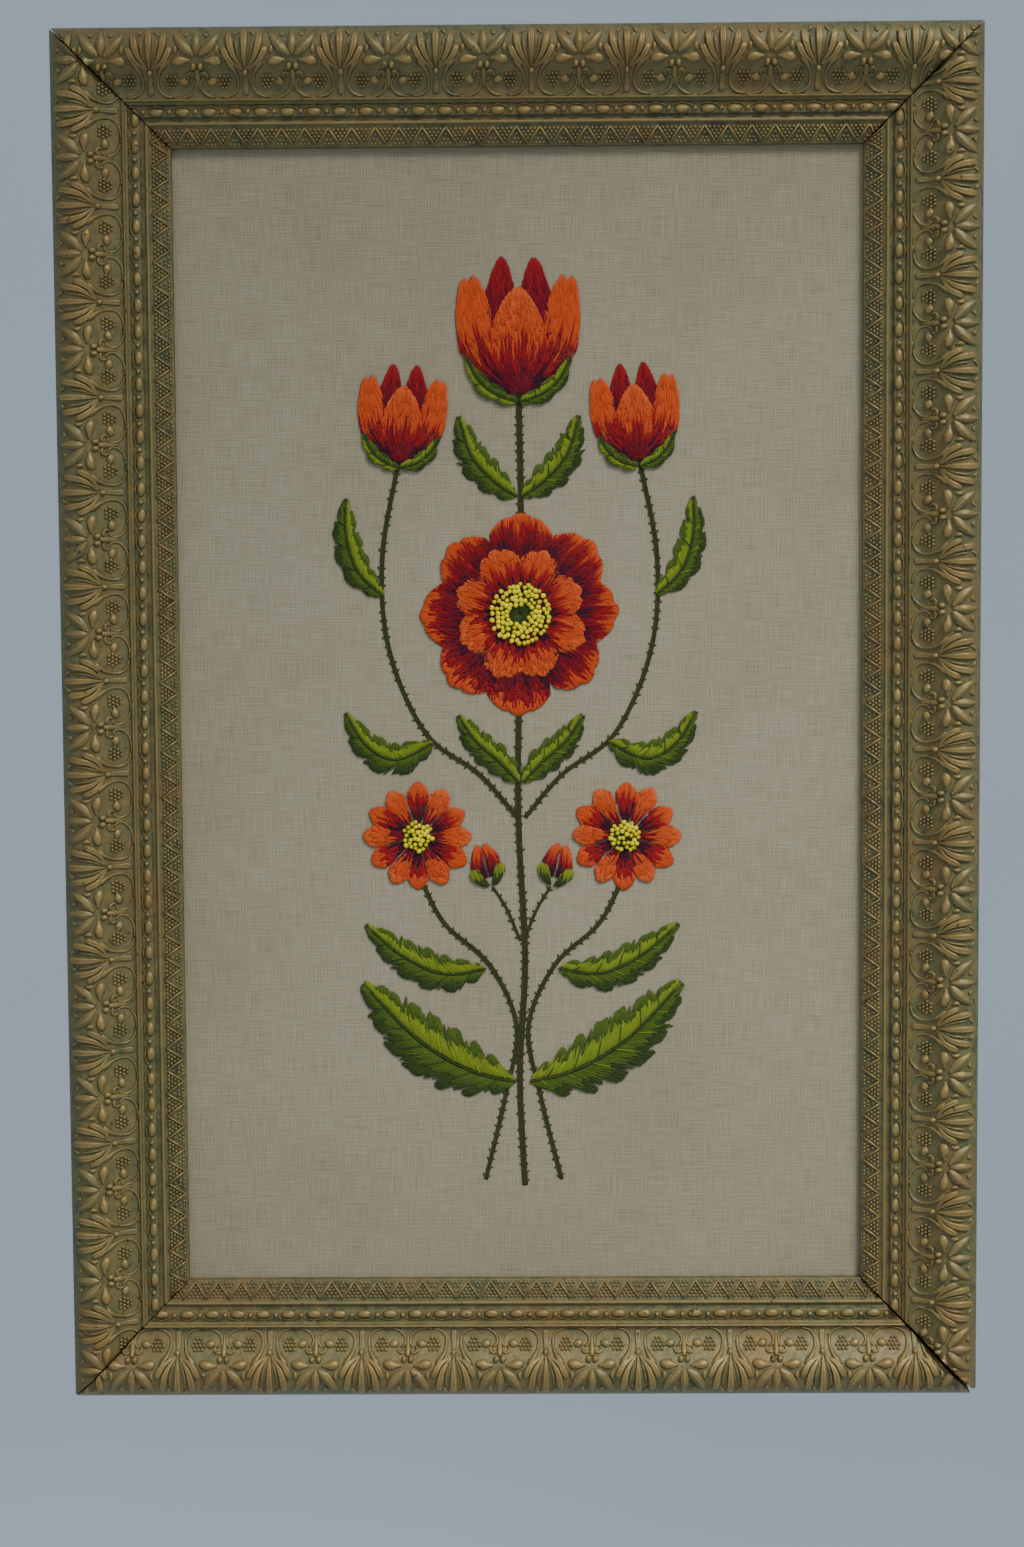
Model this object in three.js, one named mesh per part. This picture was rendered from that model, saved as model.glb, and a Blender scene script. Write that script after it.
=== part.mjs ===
// A framed embroidery: a flat linen ground held in a deep moulded picture frame.
// The frame is four mitred lengths of one moulding. Its section starts at the wall with a plain
// side, rolls over a rounded crest, falls through a hollow to a thin ridge, a row of beads, a quirk
// and a second ridge, and ends in a sloping band at the sight edge. A rebate behind that edge takes
// the linen and the thin board that it is stretched on.
//
// Millimetres, +Z up. The picture faces -Y and its flat back lies in the plane Y = 0, against the
// wall. The origin is the middle of the flat back of the top rail.
import * as THREE from "three";

// Overall sizes, and the ones that follow from them
const FRAME_WIDTH = 610;
const FRAME_HEIGHT = 914;
const RAIL_WIDTH = 76;
const REBATE_WIDTH = 6;
const REBATE_DEPTH = 10;
const BACK_WIDTH = RAIL_WIDTH - REBATE_WIDTH;
const CLEARANCE = 0.3;

// Soft and flat pieces in the rebate
const LINEN_THICKNESS = 1.2;
const BOARD_THICKNESS = 3;

// The moulding's section. "across" runs from the outer side to the sight edge, "out" from the wall
// towards the viewer.
const SIDE_OUT = 25;
const CREST = { across: 15, out: 40 };
const HOLLOW_FOOT = { across: 44.6, out: 24.8 };
const HOLLOW_BEND = { leave: 13, arrive: 13 };
const OUTER_RIDGE = { from: 44.6, to: 47, top: 26.4, foot: 23.4 };
const BEAD_CHANNEL = { from: 48.6, to: 56.8, out: 21.6 };
const BEAD_ROW = { middle: 52.7, halfWidth: 3.2, rise: 2.6 };
const QUIRK = { from: 57.4, to: 59.2, out: 18.2 };
const INNER_RIDGE = { from: 59.2, to: 62.2, top: 21.2, foot: 19.4 };
const SIGHT_BAND = { to: 74.8, out: 15.6 };
const SIGHT_EDGE_OUT = 14.2;

// How many straight steps stand for each round stretch
const CURVE_STEPS = 7;

// The mitres have opened with age. Each gap is measured square to the joint, at the sight edge
// ("inner") and at the outer corner ("outer").
const MITRE_GAPS = {
  topLeft: { inner: 0.5, outer: 0.9 },
  topRight: { inner: 0.9, outer: 0.5 },
  bottomLeft: { inner: 0.5, outer: 0.9 },
  bottomRight: { inner: 0.8, outer: 2.6 },
};

const GILT = new THREE.MeshStandardMaterial({ name: "gilt", color: 0x6f6238, roughness: 0.55, metalness: 0.35 });
const LINEN = new THREE.MeshStandardMaterial({ name: "linen", color: 0xb3a88c, roughness: 0.95, metalness: 0 });
const BOARD = new THREE.MeshStandardMaterial({ name: "board", color: 0x7a5c3c, roughness: 0.85, metalness: 0 });

// A half-round ridge that stands on the section between two places
function addRidge(outline, ridge) {
  const middle = (ridge.from + ridge.to) / 2;
  const halfWidth = (ridge.to - ridge.from) / 2;
  outline.absellipse(middle, ridge.foot, halfWidth, ridge.top - ridge.foot, Math.PI, 0, true);
}

// The closed outline of the moulding, drawn clockwise from the foot of the plain outer side
function mouldingOutline() {
  const outline = new THREE.Shape();
  outline.moveTo(0, 0);
  outline.lineTo(0, SIDE_OUT);
  outline.absellipse(CREST.across, SIDE_OUT, CREST.across, CREST.out - SIDE_OUT, Math.PI, Math.PI / 2, true);
  outline.bezierCurveTo(
    CREST.across + HOLLOW_BEND.leave, CREST.out,
    HOLLOW_FOOT.across - HOLLOW_BEND.arrive, HOLLOW_FOOT.out,
    HOLLOW_FOOT.across, HOLLOW_FOOT.out,
  );
  addRidge(outline, OUTER_RIDGE);
  outline.lineTo(BEAD_CHANNEL.from, BEAD_CHANNEL.out);
  addRidge(outline, {
    from: BEAD_ROW.middle - BEAD_ROW.halfWidth,
    to: BEAD_ROW.middle + BEAD_ROW.halfWidth,
    top: BEAD_CHANNEL.out + BEAD_ROW.rise,
    foot: BEAD_CHANNEL.out,
  });
  outline.lineTo(BEAD_CHANNEL.to, BEAD_CHANNEL.out);
  outline.lineTo(QUIRK.from, QUIRK.out);
  outline.lineTo(QUIRK.to, QUIRK.out);
  addRidge(outline, INNER_RIDGE);
  outline.lineTo(SIGHT_BAND.to, SIGHT_BAND.out);
  outline.lineTo(RAIL_WIDTH, SIGHT_EDGE_OUT);
  outline.lineTo(RAIL_WIDTH, REBATE_DEPTH);
  outline.lineTo(BACK_WIDTH, REBATE_DEPTH);
  outline.lineTo(BACK_WIDTH, 0);
  outline.closePath();
  return outline;
}

// How far along the rail a mitred end lies at one place across the moulding
function mitreSetback(across, gap) {
  const share = across / RAIL_WIDTH;
  const gapHere = gap.outer + (gap.inner - gap.outer) * share;
  return across + (gapHere / 2) * Math.SQRT2;
}

// One length of moulding, along +X from its own outer corner, with both ends mitred.
// Its section lies across +Z, towards the picture, and out along -Y.
function railGeometry(length, startGap, endGap) {
  const geometry = new THREE.ExtrudeGeometry(mouldingOutline(), {
    depth: length,
    bevelEnabled: false,
    curveSegments: CURVE_STEPS,
  });
  const position = geometry.attributes.position;
  for (let i = 0; i < position.count; i += 1) {
    const across = position.getX(i);
    const out = position.getY(i);
    const atStart = position.getZ(i) < length / 2;
    const along = atStart ? mitreSetback(across, startGap) : length - mitreSetback(across, endGap);
    position.setXYZ(i, along, -out, across);
  }
  geometry.computeVertexNormals();
  return geometry;
}

// A flat sheet that fills the rebate, with its front face that far out from the wall
function rebateSheet(name, material, frontOut, thickness) {
  const width = FRAME_WIDTH - 2 * BACK_WIDTH - 2 * CLEARANCE;
  const height = FRAME_HEIGHT - 2 * BACK_WIDTH - 2 * CLEARANCE;
  const sheet = new THREE.Mesh(new THREE.BoxGeometry(width, thickness, height), material);
  sheet.name = name;
  sheet.position.y = -(frontOut - thickness / 2);
  return sheet;
}

// The rails run one after another round the frame, each from its own corner. The turn is about Y.
const RAILS = [
  { name: "rail_bottom", length: FRAME_WIDTH, cornerX: -1, cornerZ: -1, turn: 0, start: "bottomLeft", end: "bottomRight" },
  { name: "rail_right", length: FRAME_HEIGHT, cornerX: 1, cornerZ: -1, turn: -Math.PI / 2, start: "bottomRight", end: "topRight" },
  { name: "rail_top", length: FRAME_WIDTH, cornerX: 1, cornerZ: 1, turn: Math.PI, start: "topRight", end: "topLeft" },
  { name: "rail_left", length: FRAME_HEIGHT, cornerX: -1, cornerZ: 1, turn: Math.PI / 2, start: "topLeft", end: "bottomLeft" },
];

function frameRails() {
  const frame = new THREE.Group();
  for (const rail of RAILS) {
    const geometry = railGeometry(rail.length, MITRE_GAPS[rail.start], MITRE_GAPS[rail.end]);
    const mesh = new THREE.Mesh(geometry, GILT);
    mesh.name = rail.name;
    mesh.rotation.y = rail.turn;
    mesh.position.set((rail.cornerX * FRAME_WIDTH) / 2, 0, (rail.cornerZ * FRAME_HEIGHT) / 2);
    frame.add(mesh);
  }
  return frame;
}

function stretchedPanel() {
  const panel = new THREE.Group();
  const linenFront = REBATE_DEPTH - CLEARANCE;
  const boardFront = linenFront - LINEN_THICKNESS - CLEARANCE;
  panel.add(rebateSheet("linen_ground", LINEN, linenFront, LINEN_THICKNESS));
  panel.add(rebateSheet("backing_board", BOARD, boardFront, BOARD_THICKNESS));
  return panel;
}

const picture = new THREE.Group();
picture.add(frameRails(), stretchedPanel());
picture.position.z = -(FRAME_HEIGHT - BACK_WIDTH) / 2;

const part = new THREE.Group();
part.add(picture);
export default part;
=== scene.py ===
# %% [markdown]
# # A framed crewel embroidery
#
# The object is an upright flower spray worked in wool on a flat linen ground, held in a deep old
# picture frame. The frame is wood with ornament cast on it: leaf fans and flowers on the outer
# swell, a row of eggs and beads, and a dotted zigzag next to the linen. Everything is painted in
# dull bronze gold over a grey green wash.
#
# The lesson goes from the outside in: camera and light, the frame's moulding and its ornament, the
# linen, then the stitches. Sizes are in millimetres in the text and in metres in the meshes.

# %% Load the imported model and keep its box
import math

import bmesh
import bpy
import numpy as np
from mathutils import Matrix, Vector


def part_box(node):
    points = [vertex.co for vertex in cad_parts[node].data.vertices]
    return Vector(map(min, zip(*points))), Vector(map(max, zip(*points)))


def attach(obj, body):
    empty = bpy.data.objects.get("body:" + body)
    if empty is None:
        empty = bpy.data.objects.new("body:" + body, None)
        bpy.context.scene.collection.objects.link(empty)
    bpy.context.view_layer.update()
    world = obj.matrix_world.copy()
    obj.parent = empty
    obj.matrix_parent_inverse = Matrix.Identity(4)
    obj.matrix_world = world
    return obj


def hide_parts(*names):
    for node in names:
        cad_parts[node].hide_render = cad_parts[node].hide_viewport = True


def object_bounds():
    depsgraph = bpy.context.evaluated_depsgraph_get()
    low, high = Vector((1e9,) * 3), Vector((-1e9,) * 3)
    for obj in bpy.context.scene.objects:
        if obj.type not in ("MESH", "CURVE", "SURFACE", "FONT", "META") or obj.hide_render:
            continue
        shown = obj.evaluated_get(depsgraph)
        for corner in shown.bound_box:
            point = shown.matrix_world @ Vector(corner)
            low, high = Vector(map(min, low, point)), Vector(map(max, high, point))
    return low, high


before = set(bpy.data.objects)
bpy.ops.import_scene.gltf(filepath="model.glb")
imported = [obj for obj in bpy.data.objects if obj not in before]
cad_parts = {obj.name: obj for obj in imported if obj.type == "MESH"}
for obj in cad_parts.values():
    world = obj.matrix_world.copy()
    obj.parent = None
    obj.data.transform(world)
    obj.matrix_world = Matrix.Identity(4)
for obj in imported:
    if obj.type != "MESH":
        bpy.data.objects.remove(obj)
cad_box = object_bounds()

MM = 0.001
frame_width = (cad_box[1][0] - cad_box[0][0]) / MM
frame_height = (cad_box[1][2] - cad_box[0][2]) / MM
picture_middle = (cad_box[0][2] + cad_box[1][2]) / 2 / MM
linen_low, linen_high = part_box("linen_ground")
linen_front = -linen_low[1] / MM
print("frame", round(frame_width, 1), "x", round(frame_height, 1), "mm, middle at", round(picture_middle, 1))
print("linen front", round(linen_front, 2), "mm from the wall")

# %% [markdown]
# ## Camera
#
# The photo was taken by somebody who stood straight in front of the picture and held the camera
# fifteen centimetres above its middle, pointed a little down. The place and the lens below were
# worked out from the corners of the frame. A camera matrix is easiest to build from the three
# directions that it has: right, up and back.

# %% Camera
CAMERA_PLACE = (21.3, -2081.0, 149.1)
CAMERA_LOOK = (-0.01317, 0.99596, -0.08880)
CAMERA_UP = (0.00559, 0.08888, 0.99603)
CAMERA_LENS = 71.79


def make_camera():
    """A camera at the photo's place, given from the middle of the picture on the wall."""
    back = -Vector(CAMERA_LOOK).normalized()
    right = Vector(CAMERA_UP).cross(back).normalized()
    up = back.cross(right)
    turn = Matrix((right, up, back)).transposed().to_4x4()
    place = Vector(CAMERA_PLACE) + Vector((0, 0, picture_middle))
    data = bpy.data.cameras.new("camera")
    data.lens = CAMERA_LENS
    data.sensor_width = 36
    camera = bpy.data.objects.new("camera", data)
    camera.matrix_world = Matrix.Translation(place * MM) @ turn
    bpy.context.collection.objects.link(camera)
    bpy.context.scene.camera = camera
    return camera


camera = make_camera()
print("camera", [round(value, 3) for value in camera.location], "lens", camera.data.lens)

# %% [markdown]
# ## Small helpers
#
# Materials and geometry node trees are both built from nodes and links. The first helper adds one
# node and fills in its settings and inputs. Those after it are the few kinds of node that come up
# again and again, and the last two start and finish a material. The mesh helpers join rings of points
# into closed forms, and keep values on the points under a name, for the nodes to read.


# %% Node helpers
def add_node(tree, kind, inputs=None, **settings):
    """Add one node, set its properties, then its inputs; an input may be a value or an output."""
    node = tree.nodes.new(kind)
    for name, value in settings.items():
        setattr(node, name, value)
    for key, value in (inputs or {}).items():
        if isinstance(value, bpy.types.NodeSocket):
            tree.links.new(value, node.inputs[key])
        else:
            node.inputs[key].default_value = value
    return node


def math_node(tree, operation, first, second=0.0, third=0.0):
    """The result of one sum, with numbers or outputs as its terms."""
    return add_node(tree, "ShaderNodeMath", {0: first, 1: second, 2: third}, operation=operation).outputs[0]


def swing(tree, value, weight, base):
    """A value about 0.5 made to swing about nought, weighted, and added to a base."""
    return math_node(tree, "MULTIPLY_ADD", math_node(tree, "SUBTRACT", value, 0.5), weight, base)


def wave(tree, angle):
    """A sine wave that runs between 0 and 1."""
    return math_node(tree, "MULTIPLY_ADD", math_node(tree, "SINE", angle), 0.5, 0.5)


def attribute(tree, name, output="Fac"):
    """What a mesh keeps under a name, read in a material."""
    return add_node(tree, "ShaderNodeAttribute", attribute_name=name).outputs[output]


def object_place(tree):
    """Where a point lies in its piece's own space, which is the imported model's."""
    return add_node(tree, "ShaderNodeTexCoord").outputs["Object"]


def combined(tree, **axes):
    """A vector made of its X, Y and Z."""
    return add_node(tree, "ShaderNodeCombineXYZ", axes).outputs[0]


def separated(tree, vector):
    """The X, Y and Z of a vector."""
    return add_node(tree, "ShaderNodeSeparateXYZ", {0: vector}).outputs


def in_range(tree, value, low=0.0, high=1.0, to_low=0.0, to_high=1.0):
    """A value between low and high, laid out between to_low and to_high and held there."""
    return add_node(tree, "ShaderNodeMapRange", {
        "Value": value, "From Min": low, "From Max": high, "To Min": to_low, "To Max": to_high,
    }).outputs[0]


def noise(tree, coordinates, scale, detail=3.0, roughness=0.55, stretch=(1, 1, 1)):
    """A noise value about 0.5, with its grain stretched along the axes."""
    mapping = add_node(tree, "ShaderNodeMapping", {"Vector": coordinates, "Scale": stretch})
    return add_node(tree, "ShaderNodeTexNoise", {
        "Vector": mapping.outputs[0], "Scale": scale, "Detail": detail, "Roughness": roughness,
    }).outputs["Fac"]


def from_photo(red, green, blue):
    """A colour read as 0 to 255 values on the screen, as linear light for a shader."""
    def linear(value):
        share = value / 255
        return share / 12.92 if share <= 0.04045 else ((share + 0.055) / 1.055) ** 2.4
    return (linear(red), linear(green), linear(blue), 1.0)


def colour_steps(tree, share, *steps):
    """A colour ramp read at share; each step is a place and a given red, green and blue."""
    ramp = add_node(tree, "ShaderNodeValToRGB", {0: share})
    elements = ramp.color_ramp.elements
    while len(elements) < len(steps):
        elements.new(0.5)
    for element, (place, *colour) in zip(elements, steps):
        element.position = place
        element.color = from_photo(*colour)
    return ramp.outputs["Color"]


def mix_colour(tree, share, first, second, blend="MIX"):
    """Two colours mixed, or laid over each other by another blend."""
    inputs = {0: share, 6: first, 7: second}
    return add_node(tree, "ShaderNodeMix", inputs, data_type="RGBA", blend_type=blend).outputs[2]


def tinted(tree, colour, *tint):
    """A colour under a thin layer of a red, green and blue."""
    return mix_colour(tree, 1.0, colour, (*tint, 1), "MULTIPLY")


def new_material(name, inputs):
    """A material with one principled shader; returns the material, its tree and the shader."""
    material = bpy.data.materials.new(name)
    material.use_nodes = True
    shader = material.node_tree.nodes["Principled BSDF"]
    for key, value in inputs.items():
        shader.inputs[key].default_value = value
    return material, material.node_tree, shader


def finish_material(tree, shader, colour, height, depth, strength=0.5):
    """Link the colour, and a fine relief with its depth in metres, to the shader."""
    tree.links.new(colour, shader.inputs["Base Color"])
    bump = add_node(tree, "ShaderNodeBump", {"Strength": strength, "Distance": depth, "Height": height})
    tree.links.new(bump.outputs[0], shader.inputs["Normal"])


# %% Mesh helpers
def joined_rings(first, rings, size):
    """The faces between rings of equally many points; the first ring starts at point first."""
    faces = []
    for ring in range(rings - 1):
        low = first + ring * size
        for i in range(size):
            j = (i + 1) % size
            faces.append((low + i, low + j, low + size + j, low + size + i))
    return faces


def closed_rings(first, rings, size):
    """The same faces, and one more over each end."""
    last = first + (rings - 1) * size
    ends = [tuple(range(first + size - 1, first - 1, -1)), tuple(range(last, last + size))]
    return joined_rings(first, rings, size) + ends


def new_mesh(name, points, faces, outward=False):
    """A smooth mesh; outward turns all its faces to the outside."""
    mesh = bpy.data.meshes.new(name)
    mesh.from_pydata(points, [], faces)
    if outward:
        solid = bmesh.new()
        solid.from_mesh(mesh)
        bmesh.ops.recalc_face_normals(solid, faces=solid.faces)
        solid.to_mesh(mesh)
        solid.free()
    mesh.shade_smooth()
    return mesh


VALUE_KINDS = {1: ("FLOAT", "value"), 3: ("FLOAT_VECTOR", "vector"), 4: ("FLOAT_COLOR", "color")}


def keep_values(mesh, name, values):
    """Keep a number, a vector or a colour for each point of a mesh under a name."""
    values = np.array(values, float)
    kind, field = VALUE_KINDS[values.size // len(values)]
    mesh.attributes.new(name, kind, "POINT").data.foreach_set(field, values.ravel())


def link_piece(name, mesh, material=None):
    """Put a finished mesh in the scene as a piece at the origin."""
    piece = bpy.data.objects.new(name, mesh)
    if material is not None:
        mesh.materials.clear()
        mesh.materials.append(material)
    bpy.context.collection.objects.link(piece)
    return piece


def triangles(mesh):
    """How many triangles a mesh has."""
    return sum(len(face.vertices) - 2 for face in mesh.polygons)


# %% [markdown]
# ## The room
#
# The picture is lit by soft daylight that comes from above, in front and the right. A plain studio
# gives that light: one pale sweep that is floor and backdrop in one piece, well behind the picture so
# that its back can be looked at too, a soft light high up on the right, a wider and weaker one low
# down on the left, and a pale sky all round.

# %% Sweep and lights
SWEEP_FLOOR = -2.1
SWEEP_FRONT = -6.0
SWEEP_BACK = 6.5
SWEEP_TOP = 6.0
SWEEP_BEND = 2.5
SWEEP_BEND_STEPS = 24
SWEEP_HALF_WIDTH = 9.0


def make_sweep():
    """Floor and backdrop as one surface with a wide round bend between them."""
    rows = [(SWEEP_FRONT, SWEEP_FLOOR), (SWEEP_BACK - SWEEP_BEND, SWEEP_FLOOR)]
    for step in range(1, SWEEP_BEND_STEPS + 1):
        angle = math.pi / 2 * step / SWEEP_BEND_STEPS
        rows.append((
            SWEEP_BACK - SWEEP_BEND + SWEEP_BEND * math.sin(angle),
            SWEEP_FLOOR + SWEEP_BEND * (1 - math.cos(angle)),
        ))
    rows.append((SWEEP_BACK, SWEEP_TOP))
    corners = [(x, y, z) for y, z in rows for x in (-SWEEP_HALF_WIDTH, SWEEP_HALF_WIDTH)]
    faces = [(2 * i, 2 * i + 1, 2 * i + 3, 2 * i + 2) for i in range(len(rows) - 1)]
    material, tree, shader = new_material("pale_paper", {"Roughness": 0.95})
    tone = noise(tree, object_place(tree), 1.2, detail=2)
    pale = mix_colour(tree, tone, (0.78, 0.85, 0.91, 1), (0.84, 0.91, 0.96, 1))
    tree.links.new(pale, shader.inputs["Base Color"])
    return link_piece("sweep", new_mesh("sweep", corners, faces), material)


def add_soft_light(name, place, target, size, power, colour, spread=180):
    """One square area light that points from place at target; a smaller spread fades at its rim."""
    data = bpy.data.lights.new(name, "AREA")
    data.size = size
    data.energy = power
    data.spread = math.radians(spread)
    data.color = colour
    light = bpy.data.objects.new(name, data)
    aim = Vector(target) - Vector(place)
    light.matrix_world = Matrix.Translation(place) @ aim.to_track_quat("-Z", "Y").to_matrix().to_4x4()
    bpy.context.collection.objects.link(light)


def set_sky(colour, strength):
    """An even pale sky all round."""
    world = bpy.data.worlds.new("sky")
    world.use_nodes = True
    background = world.node_tree.nodes["Background"]
    background.inputs["Color"].default_value = colour
    background.inputs["Strength"].default_value = strength
    bpy.context.scene.world = world


make_sweep()
add_soft_light(
    "window", place=(1.7, -2.3, 2.0), target=(0.25, 0, -1.0), size=1.6, power=11.3,
    colour=(1.0, 0.97, 0.92), spread=39,
)
add_soft_light(
    "bounce", place=(-1.6, -3.0, -0.9), target=(0, 0, picture_middle * MM), size=2.5, power=7.5,
    colour=(0.97, 0.98, 1.0),
)
set_sky(colour=(0.84, 0.91, 1.0, 1), strength=0.50)

# %% [markdown]
# ## The moulding
#
# A framer buys moulding by the length, planed to one section, and mitres it at the corners. So the
# section is drawn once, as a line that starts at the wall, goes up the plain outer side, over the
# rounded crest, down the hollow, over a thin ridge, the flat that carries the beads, a quirk, a
# second ridge, and down the last slope to the sight edge. A form that runs along a straight length
# is quickest to build by hand: copy the section at two or more places and join the copies.
#
# The crest and hollow are drawn a little lower than the frame's full depth, because the cast ornament
# stands on them and makes up the rest. The plain side stands a millimetre and a half further out than
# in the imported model, where layers of ground and paint have built up on it.

# %% The section, in mm across the moulding and out from the wall
RAIL_WIDTH = 76.0
BACK_WIDTH = 70.0
REBATE_DEPTH = 10.0
SIDE_OUT = 24.0
SIDE_SWELL = 1.6
CREST_ACROSS = 15.0
CREST_OUT = 37.4
HOLLOW_END = (44.6, 23.4)
HOLLOW_REACH = 13.0
# Each ridge: where it starts and ends across, and how far out its foot and its top stand
OUTER_RIDGE = (44.7, 46.9, 23.4, 26.2)
INNER_RIDGE = (59.2, 62.0, 19.4, 21.2)
BEAD_FLAT = [(48.4, 22.9), (48.9, 21.5), (52.4, 21.7), (55.8, 21.5), (56.3, 21.2)]
QUIRK = [(56.8, 19.6), (57.8, 19.1), (59.0, 19.3)]
LAST_SLOPE = [(62.6, 19.2), (74.6, 15.6), (75.6, 15.2), (76.0, 14.4)]


def ellipse_points(centre, radii, start, end, steps):
    """Points on a stretch of an ellipse, from one angle to another in degrees."""
    angles = np.radians(np.linspace(start, end, steps + 1))
    return [(centre[0] + radii[0] * math.cos(a), centre[1] + radii[1] * math.sin(a)) for a in angles]


def bezier_points(controls, steps):
    """Points on a cubic curve."""
    a, b, c, d = (np.array(point, float) for point in controls)
    points = []
    for t in np.linspace(0, 1, steps + 1):
        s = 1 - t
        points.append(tuple(s ** 3 * a + 3 * s ** 2 * t * b + 3 * s * t ** 2 * c + t ** 3 * d))
    return points


def ridge_points(first, last, foot, top, steps=8):
    """A half-round ridge that stands between two places on the section."""
    return ellipse_points(((first + last) / 2, foot), ((last - first) / 2, top - foot), 180, 0, steps)


def shown_face():
    """The part of the section that shows, from the foot of the outer side to the sight edge."""
    crest_reach = (CREST_ACROSS + SIDE_SWELL, CREST_OUT - SIDE_OUT)
    crest = ellipse_points((CREST_ACROSS, SIDE_OUT), crest_reach, 180, 90, 12)
    hollow = bezier_points((
        (CREST_ACROSS, CREST_OUT),
        (CREST_ACROSS + HOLLOW_REACH, CREST_OUT),
        (HOLLOW_END[0] - HOLLOW_REACH, HOLLOW_END[1]),
        HOLLOW_END,
    ), 18)
    outer = [(-SIDE_SWELL, 0.0)] + crest + hollow[1:]
    inner = ridge_points(*OUTER_RIDGE) + BEAD_FLAT + QUIRK + ridge_points(*INNER_RIDGE) + LAST_SLOPE
    return np.array(outer + inner)


face_line = shown_face()
face_steps = np.hypot(*np.diff(face_line, axis=0).T)
face_run = np.concatenate([[0.0], np.cumsum(face_steps)])
crest_start = int(np.argmin(np.abs(face_line[:, 1] - SIDE_OUT) + face_line[:, 0]))
print("section has", len(face_line), "points; its face is", round(face_run[-1], 1), "mm long")


def run_at(across):
    """How far along the section's face a place across the moulding lies, from the foot of the side."""
    return np.interp(across, face_line[crest_start:, 0], face_run[crest_start:])


# %% [markdown]
# The four lengths stand at their corners with the mitres a little open, as age has left them: hair
# lines at three corners, a wedge two and a half millimetres wide at the lower right, where the tips are
# worn back too. A joint that is open at the face but shut at the wall looks dark, as a real one does
# with a wall behind it. Each length is built lying along X from its own outer corner, and then turned
# to its side of the frame.

# %% The four lengths and their mitres
MITRE_GAPS = {
    # how wide each joint stands open at the sight edge and at the outer corner
    "top_left": (0.5, 0.9),
    "top_right": (0.9, 0.5),
    "bottom_left": (0.5, 0.9),
    "bottom_right": (0.8, 2.6),
}
CORNER_WEAR = {"top_left": 0.1, "top_right": 0.1, "bottom_left": 0.1, "bottom_right": 2.6}
WEAR_REACH = 4.5
OPEN_FROM = 14.0
RAIL_TABLE = (
    # name, length, the corner that it starts at, turn, mitres at its start and end, its first fan
    ("rail_bottom", frame_width, (-1, -1), 0, "bottom_left", "bottom_right", 69.5),
    ("rail_right", frame_height, (1, -1), -90, "bottom_right", "top_right", 62.8),
    ("rail_top", frame_width, (1, 1), 180, "top_right", "top_left", 45.0),
    ("rail_left", frame_height, (-1, 1), 90, "top_left", "bottom_left", 52.1),
)
RAIL_FACTS = ("length", "corner", "turn", "start", "end", "first")
RAILS = {name: dict(zip(RAIL_FACTS, facts)) for name, *facts in RAIL_TABLE}
PROUD_ON_FACE = (
    # across, and how proud the face stands there: 0 in the deepest part, 1 on a sharp ridge; the low values
    # in the grooves also paint shade there
    (0, 0.22), (2, 0.28), (12, 0.33), (20, 0.38), (30, 0.43), (43, 0.36),
    (44.7, 0.4), (45.8, 0.75), (46.9, 0.42), (48.9, 0.28), (55.8, 0.34), (57.6, 0.12),
    (59.3, 0.45), (60.6, 0.7), (62.0, 0.45), (63.0, 0.10), (74.4, 0.12), (75.4, 0.5), (76, 0.3),
)
PROUD_ON_BACK = 0.2
SHARP_RAIL_EDGE = 38


def mitre_line(corner):
    """The mitre as a straight rule: how far along = intercept + slope times how far across."""
    inner, outer = MITRE_GAPS[corner]
    return outer * math.sqrt(0.5), 1 + (inner - outer) * math.sqrt(0.5) / RAIL_WIDTH


def mitre_setback(corner, across, out):
    """How far along a point of the mitred end lies; the joint is open at the face and shut at the wall."""
    cut, slope = mitre_line(corner)
    opened = min(1.0, out / OPEN_FROM)
    worn = CORNER_WEAR[corner] * max(0.0, 1 - (across + SIDE_SWELL) / WEAR_REACH) ** 2
    return across + (cut + slope * across - across) * opened + worn


def rail_place(rail):
    """The matrix that turns a length lying along X to its side of the frame."""
    corner_x = rail["corner"][0] * frame_width / 2
    corner_z = rail["corner"][1] * frame_height / 2 + picture_middle
    shift = Matrix.Translation((corner_x * MM, 0, corner_z * MM))
    return shift @ Matrix.Rotation(math.radians(rail["turn"]), 4, "Y")


def proud_on_section(across, out):
    """How proud a point of the section stands; gold is rubbed bright where that is much, and where it is
    little the paint is darker, partly as painted shade.
    """
    return float(np.interp(across, *zip(*PROUD_ON_FACE))) if out > REBATE_DEPTH else PROUD_ON_BACK


def plain_length(name, rail, step=18.0):
    """One closed mitred length of moulding that carries its own places and how proud they stand."""
    back = [(RAIL_WIDTH, REBATE_DEPTH), (BACK_WIDTH, REBATE_DEPTH), (BACK_WIDTH, 0.0), (WEAR_REACH, 0.0)]
    outline = [tuple(point) for point in face_line] + back
    rows = int(rail["length"] / step)
    points = []
    for row in range(rows + 1):
        for across, out in outline:
            low = mitre_setback(rail["start"], across, out)
            high = rail["length"] - mitre_setback(rail["end"], across, out)
            along = low + (high - low) * row / rows
            points.append((along * MM, -out * MM, across * MM))
    mesh = new_mesh(name, points, closed_rings(0, rows + 1, len(outline)), outward=True)
    keep_values(mesh, "proud", [proud_on_section(*point) for point in outline] * (rows + 1))
    keep_values(mesh, "rail_place", points)
    # The two end faces keep the paint, not bare pine, so that they look dark in the open joints: painted
    # shade in the joints.
    bare = [i >= len(face_line) for i in range(len(outline))] * rows + [False, False]
    mesh.polygons.foreach_set("material_index", np.array(bare, dtype=np.int32))
    mesh.set_sharp_from_angle(angle=math.radians(SHARP_RAIL_EDGE))
    return mesh


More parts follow.
